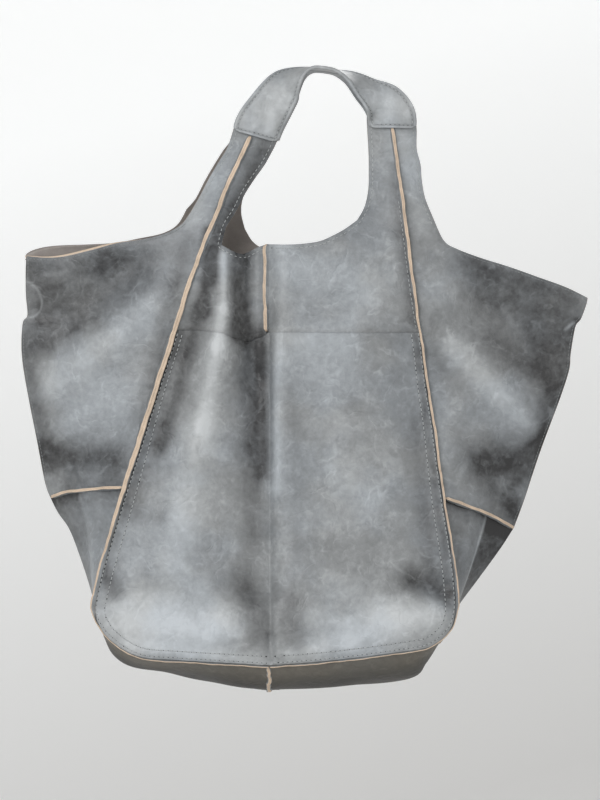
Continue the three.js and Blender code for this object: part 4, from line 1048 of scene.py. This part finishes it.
def stitches(name, runs, bold=1.0, hole_half=0.7 * MM, twine=None):
    """Rows of stitches, each a short thread with six sides that dips into the leather at both ends, and
    a dark needle hole, a flat knob with sunken edges, between each two. runs holds (points, normals) of
    evenly spaced stitches."""
    sizes = bpy.context.scene.tote_sizes
    proud = 0.35  # how far the thread lies above the leather, in its radii
    knob, sunken = 0.16 * MM, 0.3 * MM  # a needle hole's middle above the leather, its edge below it
    half, thick = sizes.stitch_length / 2, bold * sizes.stitch_width / 2
    angles = np.arange(STITCH_SIDES) * 2 * np.pi / STITCH_SIDES
    x, girth = (np.repeat(column, STITCH_SIDES) for column in STITCH.T)
    y = np.outer(STITCH[:, 1] * thick, np.cos(angles)).ravel()
    z = np.outer(STITCH[:, 1] * thick, np.sin(angles)).ravel() - 0.5 * thick * (girth < 1)
    sewn = np.stack([x * half, y, z + proud * thick], 1)
    hx, hy = (side.ravel() for side in np.meshgrid([-1, 0, 1], [-1, 0, 1], indexing="ij"))
    dome = np.where(np.hypot(hx, hy) < 0.5, knob, -sunken)
    hole = np.stack([hx * hole_half + sizes.stitch_pitch / 2, hy * hole_half, dome], 1)
    one = np.vstack([sewn, hole])
    caps = np.array([[0, 5, 4, 3], [0, 3, 2, 1], [18, 19, 20, 21], [18, 21, 22, 23]])
    thread_faces = np.vstack([quads(len(STITCH), STITCH_SIDES, wrap=True), caps])
    hole_faces = quads(3, 3) + len(sewn)
    centre = np.vstack([points for points, _ in runs])
    axes = [np.vstack(part) for part in zip(*(frame_along(*run) for run in runs))]
    points = centre[:, None] + sum(axis[:, None] * one[None, :, i, None] for i, axis in enumerate(axes))
    starts = np.arange(len(centre))[:, None, None] * len(one)
    faces = (np.vstack([thread_faces, hole_faces])[None] + starts).reshape(-1, 4)
    kinds = np.tile(np.repeat([0, 1], [len(thread_faces), len(hole_faces)]), len(centre))
    return piece(name, points, faces, [twine or thread(), needle_hole()], kinds)


def spaced(line, pitch, start=0.0, end=0.0):
    """Points evenly spaced along a line of samples, leaving start and end metres free."""
    distance = distances(line)
    marks = np.arange(start, distance[-1] - end, pitch)
    return np.stack([np.interp(marks, distance, column) for column in line.T], 1)


def beside(line, offset):
    """A line of the front view moved sideways by offset; positive is to the right of its direction."""
    tangent = unit(np.gradient(line, axis=0))
    return line + np.stack([tangent[:, 1], -tangent[:, 0]], 1) * np.broadcast_to(offset, len(line))[:, None]


class TOTE_OT_panels(Operator):
    """Front and back panels, each in two halves with the inner half of a strap"""

    bl_idname = "tote.panels"
    bl_label = "Panels"

    def execute(self, context):
        for (side, word), (rows, columns) in zip(WALLS, ((300, 84), (240, 70))):
            for hand in HANDS:
                name = f"{word}_panel_{hand}"
                grid = panel_grid(hand, side, rows, columns)
                leather_shell(name + "_leather", grid, side, nodes=(name,))
        return {"FINISHED"}


class TOTE_OT_wings(Operator):
    """Side wings with the outer half of each strap"""

    bl_idname = "tote.wings"
    bl_label = "Wings"

    def execute(self, context):
        for (side, word), (rows, columns) in zip(WALLS, ((280, 130), (220, 100))):
            v, u = np.linspace(0, 1, rows), np.linspace(0, 1, columns)
            on_rim = smooth(0.33, 0.42, v) * (1 - smooth(0.5, 0.53, v))
            below_mouth = smooth(0.51, 0.53, v)
            joined = below_mouth[:, None] * smooth(0.93, 0.99, u)
            for hand in HANDS:
                name = f"{word}_wing_{hand}"
                grid = wing_grid(hand, side, rows, columns)
                rim = 0.1 + 2.2 * on_rim * (hand == "left")
                leather_shell(name + "_leather", grid, side, rim=rim, joined=joined, nodes=(name,))
        return {"FINISHED"}


class TOTE_OT_pocket(Operator):
    """The full-width front pocket"""

    bl_idname = "tote.pocket"
    bl_label = "Pocket"

    def execute(self, context):
        grid = pocket_grid(200, 110)
        x, z = grid[..., 0], grid[..., 1]
        left, right = seams_at(z)
        channel, half_width = 7 * MM, 5 * MM  # the band of painted shade in the channel between the two rows of stitches
        inside = np.minimum(x - left, right - x)
        # sewn: painted shade along that channel, fading out towards the bottom
        sewn = np.exp(-(((inside - channel) / half_width) ** 2)) * (1 - smooth(0.75, 0.9, -z / DROP))
        lift = pocket_lift(x, z)
        leather_shell("front_pocket_leather", grid, FRONT, lift, shade=-0.45 * sewn, nodes=("front_pocket",))
        return {"FINISHED"}


class TOTE_OT_sides(Operator):
    """Lower side pieces, below the wings"""

    bl_idname = "tote.sides"
    bl_label = "Lower sides"

    def execute(self, context):
        for side, word in WALLS:
            for hand in HANDS:
                outer, tone = side_piece(hand, side, 110, 70)
                inner = inward_offset(outer, (1 if hand == "left" else -1, -side, 0), LEATHER)
                inner[..., 1] = side * np.maximum(GAP / 4, side * inner[..., 1])
                name = f"{word}_side_{hand}"
                finishes = [leather(), flesh(), raw_edge()]
                shell(name + "_leather", outer, inner, finishes, tone, nodes=(name,))
        return {"FINISHED"}


def base_half(hand, rows, columns):
    """Half of the base: its section sags from the front bottom seam to the base line and up to the back
    seam, by 1 - |2 w - 1|^3 over the share w from front to back."""
    past_seam, behind_panel = 0.5 * MM, 0.4 * MM
    w, u = np.linspace(0, 1, rows)[:, None], np.linspace(0, 0.999, columns)
    edge, lowest = at(outline(BOTTOM[hand]), u), at(outline(BASE_LINE[hand]), u)
    rim = beside(edge, past_seam if hand == "left" else -past_seam)
    front = behind_panel - face(FRONT, rim[:, 0], rim[:, 1])[0]
    back = face(BACK, rim[:, 0], rim[:, 1])[0] - behind_panel
    sag = 1 - abs(2 * w - 1) ** 3
    x = rim[:, 0] + (lowest[:, 0] - edge[:, 0]) * sag
    z = rim[:, 1] + (lowest[:, 1] - edge[:, 1]) * sag
    y = front + (back - front) * w
    creases = bell(seeded_creases(43, 60, 0.6 * MM), x, y - 0.4, MM)
    return np.stack([x, y, z + (waves(41, x, y, 1.1 * MM) + creases) * sag], -1)


class TOTE_OT_base(Operator):
    """The base in two halves, with the raw seam between them"""

    bl_idname = "tote.base"
    bl_label = "Base"

    def execute(self, context):
        sizes = context.scene.tote_sizes
        for hand in HANDS:
            outer = base_half(hand, 90, 120)
            inner = inward_offset(outer, (0, 0, 1), LEATHER)
            inner[[0, -1]] = outer[[0, -1]] + (0, 0, LEATHER)
            finishes = [base_leather(), flesh(), raw_edge()]
            # the base's tone: painted light along its seams, falling to painted shade on its underside
            under = 1 - abs(np.linspace(-1, 1, len(outer)))
            tone = np.broadcast_to((0.5 - 1.45 * smooth(0.02, 0.5, under))[:, None], outer.shape[:2])
            name = "base_" + hand
            shell(name + "_leather", outer, inner, finishes, tone, nodes=(name,))
        line = base_half("left", 200, 60)[:, -1]
        line[:, 0] += 1.1 * MM * wobble(67, line[:, 1], 30 * MM)
        down = np.gradient(line, axis=0)
        normals = unit(np.stack([np.zeros(len(line)), down[:, 2], -down[:, 1]], 1))
        half, height = 0.6 * sizes.seam_half, 0.4 * sizes.seam_height
        raw_seam("base_centre_seam", line, normals, half, height, 61, slot="base_leather")
        return {"FINISHED"}


def handle_band(side, rows, columns):
    """The handle's middle surface and its normals: a band swept along the middle line at a fixed distance
    from the middle plane, turned from facing out at its sewn ends to facing up at the crest. The ends bend
    over the strap seams under them by the straps' fall times hypot(distance, bend) - bend."""
    table = np.array(HANDLE)
    offset = side * (HALF_SPREAD + GAP + HANDLE_LEATHER / 2)
    lift = HANDLE_LEATHER / 2 + table[:, 1].min() * DROP
    x, z = table[:, 0] * REACH, -table[:, 1] * DROP + lift
    samples = track(np.stack([x, z, table[:, 2] * HANDLE_WIDTH / 2, table[:, 3]], 1), 20)[1]
    share, plan = measured(samples[:, :2])
    t, s = np.linspace(0, 1, rows), np.linspace(-1, 1, columns)
    x, z, half, turn = (np.interp(t, share, column) for column in (*plan.T, samples[:, 2], samples[:, 3]))
    turn = np.radians(np.clip(turn, 0, 90))
    centre = np.stack([x, np.full_like(x, offset), z], 1)
    facing = np.stack([np.zeros_like(x), side * np.cos(turn), np.sin(turn)], 1)
    _, across, normal = frame_along(centre, facing)
    points = centre[:, None] + across[:, None] * (half[:, None] * s)[..., None]
    for hand, ends in ("left", 1 - smooth(0.08, 0.2, t)), ("right", smooth(0.8, 0.92, t)):
        away = points[..., 0] - lookup(SEAM[hand], -points[..., 2] / DROP, REACH)
        points[..., 1] -= side * STRAP_FALL * (np.hypot(away, PATCH_BEND) - PATCH_BEND) * ends[:, None]
    bent = unit(np.cross(np.gradient(points, axis=0), np.gradient(points, axis=1)))
    bent *= np.sign(np.einsum("rci,ri->rc", bent, normal))[..., None]
    return points, bent, t, s


class TOTE_OT_handles(Operator):
    """The two handle loops, with their stitched borders"""

    bl_idname = "tote.handles"
    bl_label = "Handles"

    def execute(self, context):
        pitch = context.scene.tote_sizes.stitch_pitch
        groove_in, welt_in = 5.2 * MM, 2 * MM  # from the edge to the stitched groove and to the welt
        columns = 41
        first, last = 4, 36  # the columns that run in the groove
        runs = []
        for side, word in WALLS:
            points, normals, t, s = handle_band(side, 420, columns)
            rim = 1 - abs(s)
            arc = t[:, None] * HANDLE_LENGTH
            soft = waves(71, points[..., 0] + arc * 0.3, points[..., 2], 0.5 * MM)
            to_end = np.minimum(t, 1 - t)[:, None] * HANDLE_LENGTH
            border = np.minimum(rim[None] * HANDLE_WIDTH / 2, to_end)
            groove = np.exp(-(((border - groove_in) / (1.3 * MM)) ** 2))
            welt = np.exp(-(((border - welt_in) / (1.4 * MM)) ** 2))
            out = 0.45 * MM * welt - 0.6 * MM * groove + soft
            rounding = np.clip(1 - np.maximum(0, 1 - rim / 0.06) ** 2, 0.05, 1)
            roll = HANDLE_LEATHER / 2 * np.sqrt(rounding)[None]
            outer = points + normals * (roll + out)[..., None]
            inner = points - normals * (roll - soft)[..., None]
            # the handle's tone: painted highlights at its ends, 0.35 lighter all over, and painted shade in
            # the stitched groove
            tone = bell(HANDLE_HIGHLIGHTS, points[..., 0], points[..., 2], REACH) / MM + 0.35 - 0.6 * groove
            name = word + "_handle"
            shell(name + "_leather", outer, inner, [leather()] * 3, tone, nodes=(name,))
            end_row = int(np.searchsorted(t * HANDLE_LENGTH, groove_in))
            borders = [(outer[:, column], normals[:, column], 6 * MM) for column in (first, last)]
            for row in (end_row, -1 - end_row):
                borders.append((outer[row, first + 1 : last], normals[row, first + 1 : last], MM))
            for line, facing, spare in borders:
                marks = spaced(line, pitch, spare, spare)
                near = np.argmin(np.linalg.norm(marks[:, None] - line[None], axis=2), 1)
                runs.append((marks, facing[near]))
        stitches("handle_stitches", runs, 0.85, 0.5 * MM)
        return {"FINISHED"}


class TOTE_OT_raw_seams(Operator):
    """The raw seams down the straps, round the bottom, across the wings and above the pocket"""

    bl_idname = "tote.raw_seams"
    bl_label = "Raw seams"

    def execute(self, context):
        sizes = context.scene.tote_sizes
        step, patch_lap = 1.6 * MM, 0.004  # between samples; share of DROP that goes under the handle's end
        centre_top, back_foot = 0.2905, 0.985  # shares of DROP: top of the centre seams, foot of the back's
        for side, word in WALLS:
            for hand in HANDS:
                seam = stretch(strap_seam(hand), PATCH_END[hand] - patch_lap, SEAM_FOOT)
                line = spaced(np.vstack([seam[1], outline(BOTTOM[hand])[1][1:]]), step)
                share = -line[:, 1] / DROP
                on_pocket = smooth(POCKET_TOP - 0.005, POCKET_TOP + 0.03, share) * (side == FRONT)
                seated = 0.8 + 0.2 * smooth(0.8, 0.9, share)
                over = seated * pocket_lift(line[:, 0], line[:, 1]) * on_pocket
                points, normals = on_face(side, line, over)
                corner = smooth(*CORNER_RAMP, share)
                normals = unit(normals + corner[:, None] * np.array([0, 0, -0.35]))
                half = sizes.seam_half * seam_share(hand, share)
                height = sizes.seam_height * (1 - 0.2 * smooth(0.45, 0.8, share)) * (1 - 0.5 * corner)
                seed = 101 + 10 * (side > 0) + 3 * (hand == "left")
                raw_seam(f"{word}_seam_{hand}", points, normals, half, height, seed, over)
                line = spaced(outline(CROSS_SEAM[hand])[1], step, 1.5 * MM, 0.5 * MM)
                points, normals = on_face(side, line, -0.3 * MM)
                half, height = 0.58 * sizes.seam_half, 0.8 * sizes.seam_height
                raw_seam(f"{word}_cross_seam_{hand}", points, normals, half, height, seed + 40)
            end = POCKET_TOP if side == FRONT else back_foot
            line = spaced(stretch(outline(CENTRE_SEAM), centre_top, end)[1], step)
            half = np.full(len(line), 0.82 * sizes.seam_half)
            raw_seam(word + "_centre_seam", *on_face(side, line), half, sizes.seam_height, 171 + side)
        return {"FINISHED"}


class TOTE_OT_stitches(Operator):
    """Stitch rows round the pocket, down the seams and along the strap edges and rims"""

    bl_idname = "tote.stitches"
    bl_label = "Stitches"

    def execute(self, context):
        sizes = context.scene.tote_sizes
        pitch = sizes.stitch_pitch
        turns = {"left": -1, "right": 1}  # which way beside goes from a seam into the bag's middle
        runs = []
        for hand, turn in turns.items():
            seam = stretch(strap_seam(hand), POCKET_TOP, SEAM_FOOT)
            whole = spaced(np.vstack([seam[1], outline(BOTTOM[hand])[1][1:]]), 3 * MM)
            share = -whole[:, 1] / DROP
            at_corner = smooth(0.86, 0.95, share)
            inset = sizes.seam_half * seam_share(hand, share) + sizes.row_inset + 1.5 * MM * at_corner
            narrow = 0.5 if hand == "left" else 0.75
            widening = narrow + (1 - narrow) * smooth(0.5, 0.76, share)
            gap = sizes.row_gap * (widening - 0.3 * smooth(0.86, 0.96, share))
            for offset in (inset, inset + gap):
                marks = spaced(beside(whole, turn * offset), pitch, 2 * MM, 3 * MM)
                runs.append(on_face(FRONT, marks, pocket_lift(marks[:, 0], marks[:, 1]) + 0.15 * MM))
        stitches("pocket_stitches", runs)
        rows, strap_end, rim_start = 400, 170, 110  # of a grid's rows: where its strap's or rim's edge is
        seam_in, outer_in, rim_in, rim_pitch = 4.2 * MM, 4 * MM, 2.5 * MM, 4 * MM
        strap_rows, rim_rows = [], []
        for side, _ in WALLS:
            for hand, turn in turns.items():
                if hand == "right" or side == BACK:
                    seam = stretch(strap_seam(hand), 0.22, POCKET_TOP - 0.01)[1]
                    strap_rows.append(on_face(side, spaced(beside(seam, turn * seam_in), pitch)))
                edge = panel_grid(hand, side, rows, 3)[:strap_end, -1]
                marks = spaced(beside(edge, -turn * seam_in), pitch, 12 * MM, 6 * MM)
                strap_rows.append(on_face(side, marks))
                edge = wing_grid(hand, side, rows, 3)[:, -1]
                marks = spaced(beside(edge[:rim_start], turn * outer_in), pitch, 12 * MM)
                strap_rows.append(on_face(side, marks))
                marks = spaced(beside(edge[rim_start:], turn * rim_in), rim_pitch, 3 * MM, 8 * MM)
                rim_rows.append(on_face(side, marks))
        stitches("strap_stitches", strap_rows, 0.85, 0.5 * MM)
        stitches("rim_stitches", rim_rows, 0.7, 0.5 * MM, worn_thread())
        return {"FINISHED"}


# The photograph's frame: 1.12 mm of the bag a pixel on a plane 30 mm before the middle one
PIXEL = 1.12 * MM
IMAGE_HEIGHT = 800 * PIXEL
IMAGE_MIDDLE = (-15 * PIXEL, -330 * PIXEL)
MEASURED_PLANE = 30 * MM
CAMERA_AWAY = 7.5
SENSOR = 36  # mm
# Lights: place, share of the key or fill power, and width of the square
KEY_LIGHT, FILL_LIGHT = ((-1.1, -2.7, 1.2), 1, 1.9), ((1.9, -2.0, 0.1), 1, 1.6)
REAR_LIGHT = ((0.9, 2.7, 0.9), 0.55, 1.8)
BAG_MIDDLE = (-0.02, 0, -0.36)


class TOTE_OT_stage(Operator):
    """Floor, lights and camera"""

    bl_idname = "tote.stage"
    bl_label = "Stage"

    def execute(self, context):
        studio = context.scene.tote_studio
        self.floor(CAD_BOX[0][2] - studio.below, tuple(studio.floor))
        self.light("key", studio.key, *KEY_LIGHT)
        self.light("fill", studio.fill, *FILL_LIGHT)
        self.light("rear", studio.key, *REAR_LIGHT)
        world = bpy.data.worlds.new("soft_studio")
        world.use_nodes = True
        background = world.node_tree.nodes["Background"].inputs
        background["Color"].default_value = (1, 1, 1, 1)
        background["Strength"].default_value = studio.sky
        context.scene.world = world
        context.scene.view_settings.view_transform = "Standard"
        self.camera(context)
        return {"FINISHED"}

    def floor(self, level, colour):
        """A disc whose rim curls up: out to 8 m flat, then a quarter circle of 3 m and a low wall. Painted
        light: its colour and its faint glow, though it is no lamp, rise with the height and fall to the
        right."""
        flat, bend, top, around = 8, 3, 4.5, 96
        curl = np.linspace(0, np.pi / 2, 16)
        radius = np.concatenate([[0.02, 2, 5], flat + bend * np.sin(curl), [flat + bend]])
        height = np.concatenate([[0, 0, 0], bend - bend * np.cos(curl), [top]])
        angle = np.linspace(0, 2 * np.pi, around, endpoint=False)
        x, y = np.outer(radius, np.cos(angle)), np.outer(radius, np.sin(angle))
        z = np.broadcast_to(level + height[:, None], x.shape)
        points = np.stack([x, y, z], -1).reshape(-1, 3)
        mesh = bpy.data.meshes.new("floor")
        faces = [list(range(around)), *quads(len(radius), around, wrap=True)[:, ::-1].tolist()]
        mesh.from_pydata(points.tolist(), [], faces)
        mesh.polygons.foreach_set("use_smooth", np.ones(len(faces), bool))
        graph = Graph("pale_floor")
        parts = graph.node("ShaderNodeSeparateXYZ", Vector=graph.coordinates).outputs
        # painted light and shade on the floor: lighter up the wall, darker to the right, and a glow of 0.44
        up = graph.sum((parts["Z"], 0.45, 0.66), (parts["X"], -0.13, 0))
        shaded = tuple(np.multiply(colour, (0.6, 0.59, 0.58)))
        ground = graph.colours(up, ((0.0, shaded), (0.9, colour)))
        graph.put(graph.shader.inputs["Emission Color"], ground)
        graph.shader.inputs["Emission Strength"].default_value = 0.44
        mesh.materials.append(graph.finish(ground, 0.9, graph.bump(graph.noise(4), 0.05, 1)))
        made = bpy.data.objects.new("floor", mesh)
        bpy.context.scene.collection.objects.link(made)

    def light(self, name, power, place, share, width):
        """A square light that looks at the bag's middle."""
        data = bpy.data.lights.new(name, "AREA")
        data.energy, data.size = share * power, width
        lamp = bpy.data.objects.new(name, data)
        lamp.location = place
        lamp.rotation_euler = (Vector(BAG_MIDDLE) - lamp.location).to_track_quat("-Z", "Y").to_euler()
        bpy.context.scene.collection.objects.link(lamp)

    def camera(self, context):
        """A level long lens that sees the photograph's frame on the measured plane."""
        data = bpy.data.cameras.new("camera")
        data.sensor_width = SENSOR
        data.lens = SENSOR * (CAMERA_AWAY - MEASURED_PLANE) / IMAGE_HEIGHT
        data.clip_end = 100
        camera = bpy.data.objects.new("camera", data)
        camera.location = (IMAGE_MIDDLE[0], -CAMERA_AWAY, IMAGE_MIDDLE[1])
        camera.rotation_euler = (np.pi / 2, 0, 0)
        context.scene.collection.objects.link(camera)
        context.scene.camera = camera


OPERATORS = (
    TOTE_OT_panels, TOTE_OT_wings, TOTE_OT_pocket, TOTE_OT_sides, TOTE_OT_base, TOTE_OT_handles,
    TOTE_OT_raw_seams, TOTE_OT_stitches, TOTE_OT_stage,
)


class TOTE_PT_panel(Panel):
    """The tote bag's sizes, finishes and pieces"""

    bl_idname = "TOTE_PT_panel"
    bl_label = "Tote Bag"
    bl_space_type = "VIEW_3D"
    bl_region_type = "UI"
    bl_category = "Tote Bag"

    def draw(self, context):
        layout = self.layout
        for group in (context.scene.tote_sizes, context.scene.tote_finish, context.scene.tote_studio):
            box = layout.box()
            for key in group.bl_rna.properties.keys():
                if key not in ("rna_type", "name"):
                    box.prop(group, key)
        for operator in OPERATORS:
            layout.operator(operator.bl_idname)


CLASSES = (ToteSizes, ToteFinish, ToteStudio, *OPERATORS, TOTE_PT_panel)


def register():
    """Registers the classes and hangs the settings on the scene."""
    for item in CLASSES:
        bpy.utils.register_class(item)
    bpy.types.Scene.tote_sizes = PointerProperty(type=ToteSizes)
    bpy.types.Scene.tote_finish = PointerProperty(type=ToteFinish)
    bpy.types.Scene.tote_studio = PointerProperty(type=ToteStudio)


def unregister():
    """Takes back what register did."""
    del bpy.types.Scene.tote_sizes, bpy.types.Scene.tote_finish, bpy.types.Scene.tote_studio
    for item in reversed(CLASSES):
        bpy.utils.unregister_class(item)


def main():
    register()
    bpy.ops.tote.panels()
    bpy.ops.tote.wings()
    bpy.ops.tote.pocket()
    bpy.ops.tote.sides()
    bpy.ops.tote.base()
    bpy.ops.tote.handles()
    bpy.ops.tote.raw_seams()
    bpy.ops.tote.stitches()
    bpy.ops.tote.stage()


if __name__ == "__main__":
    main()
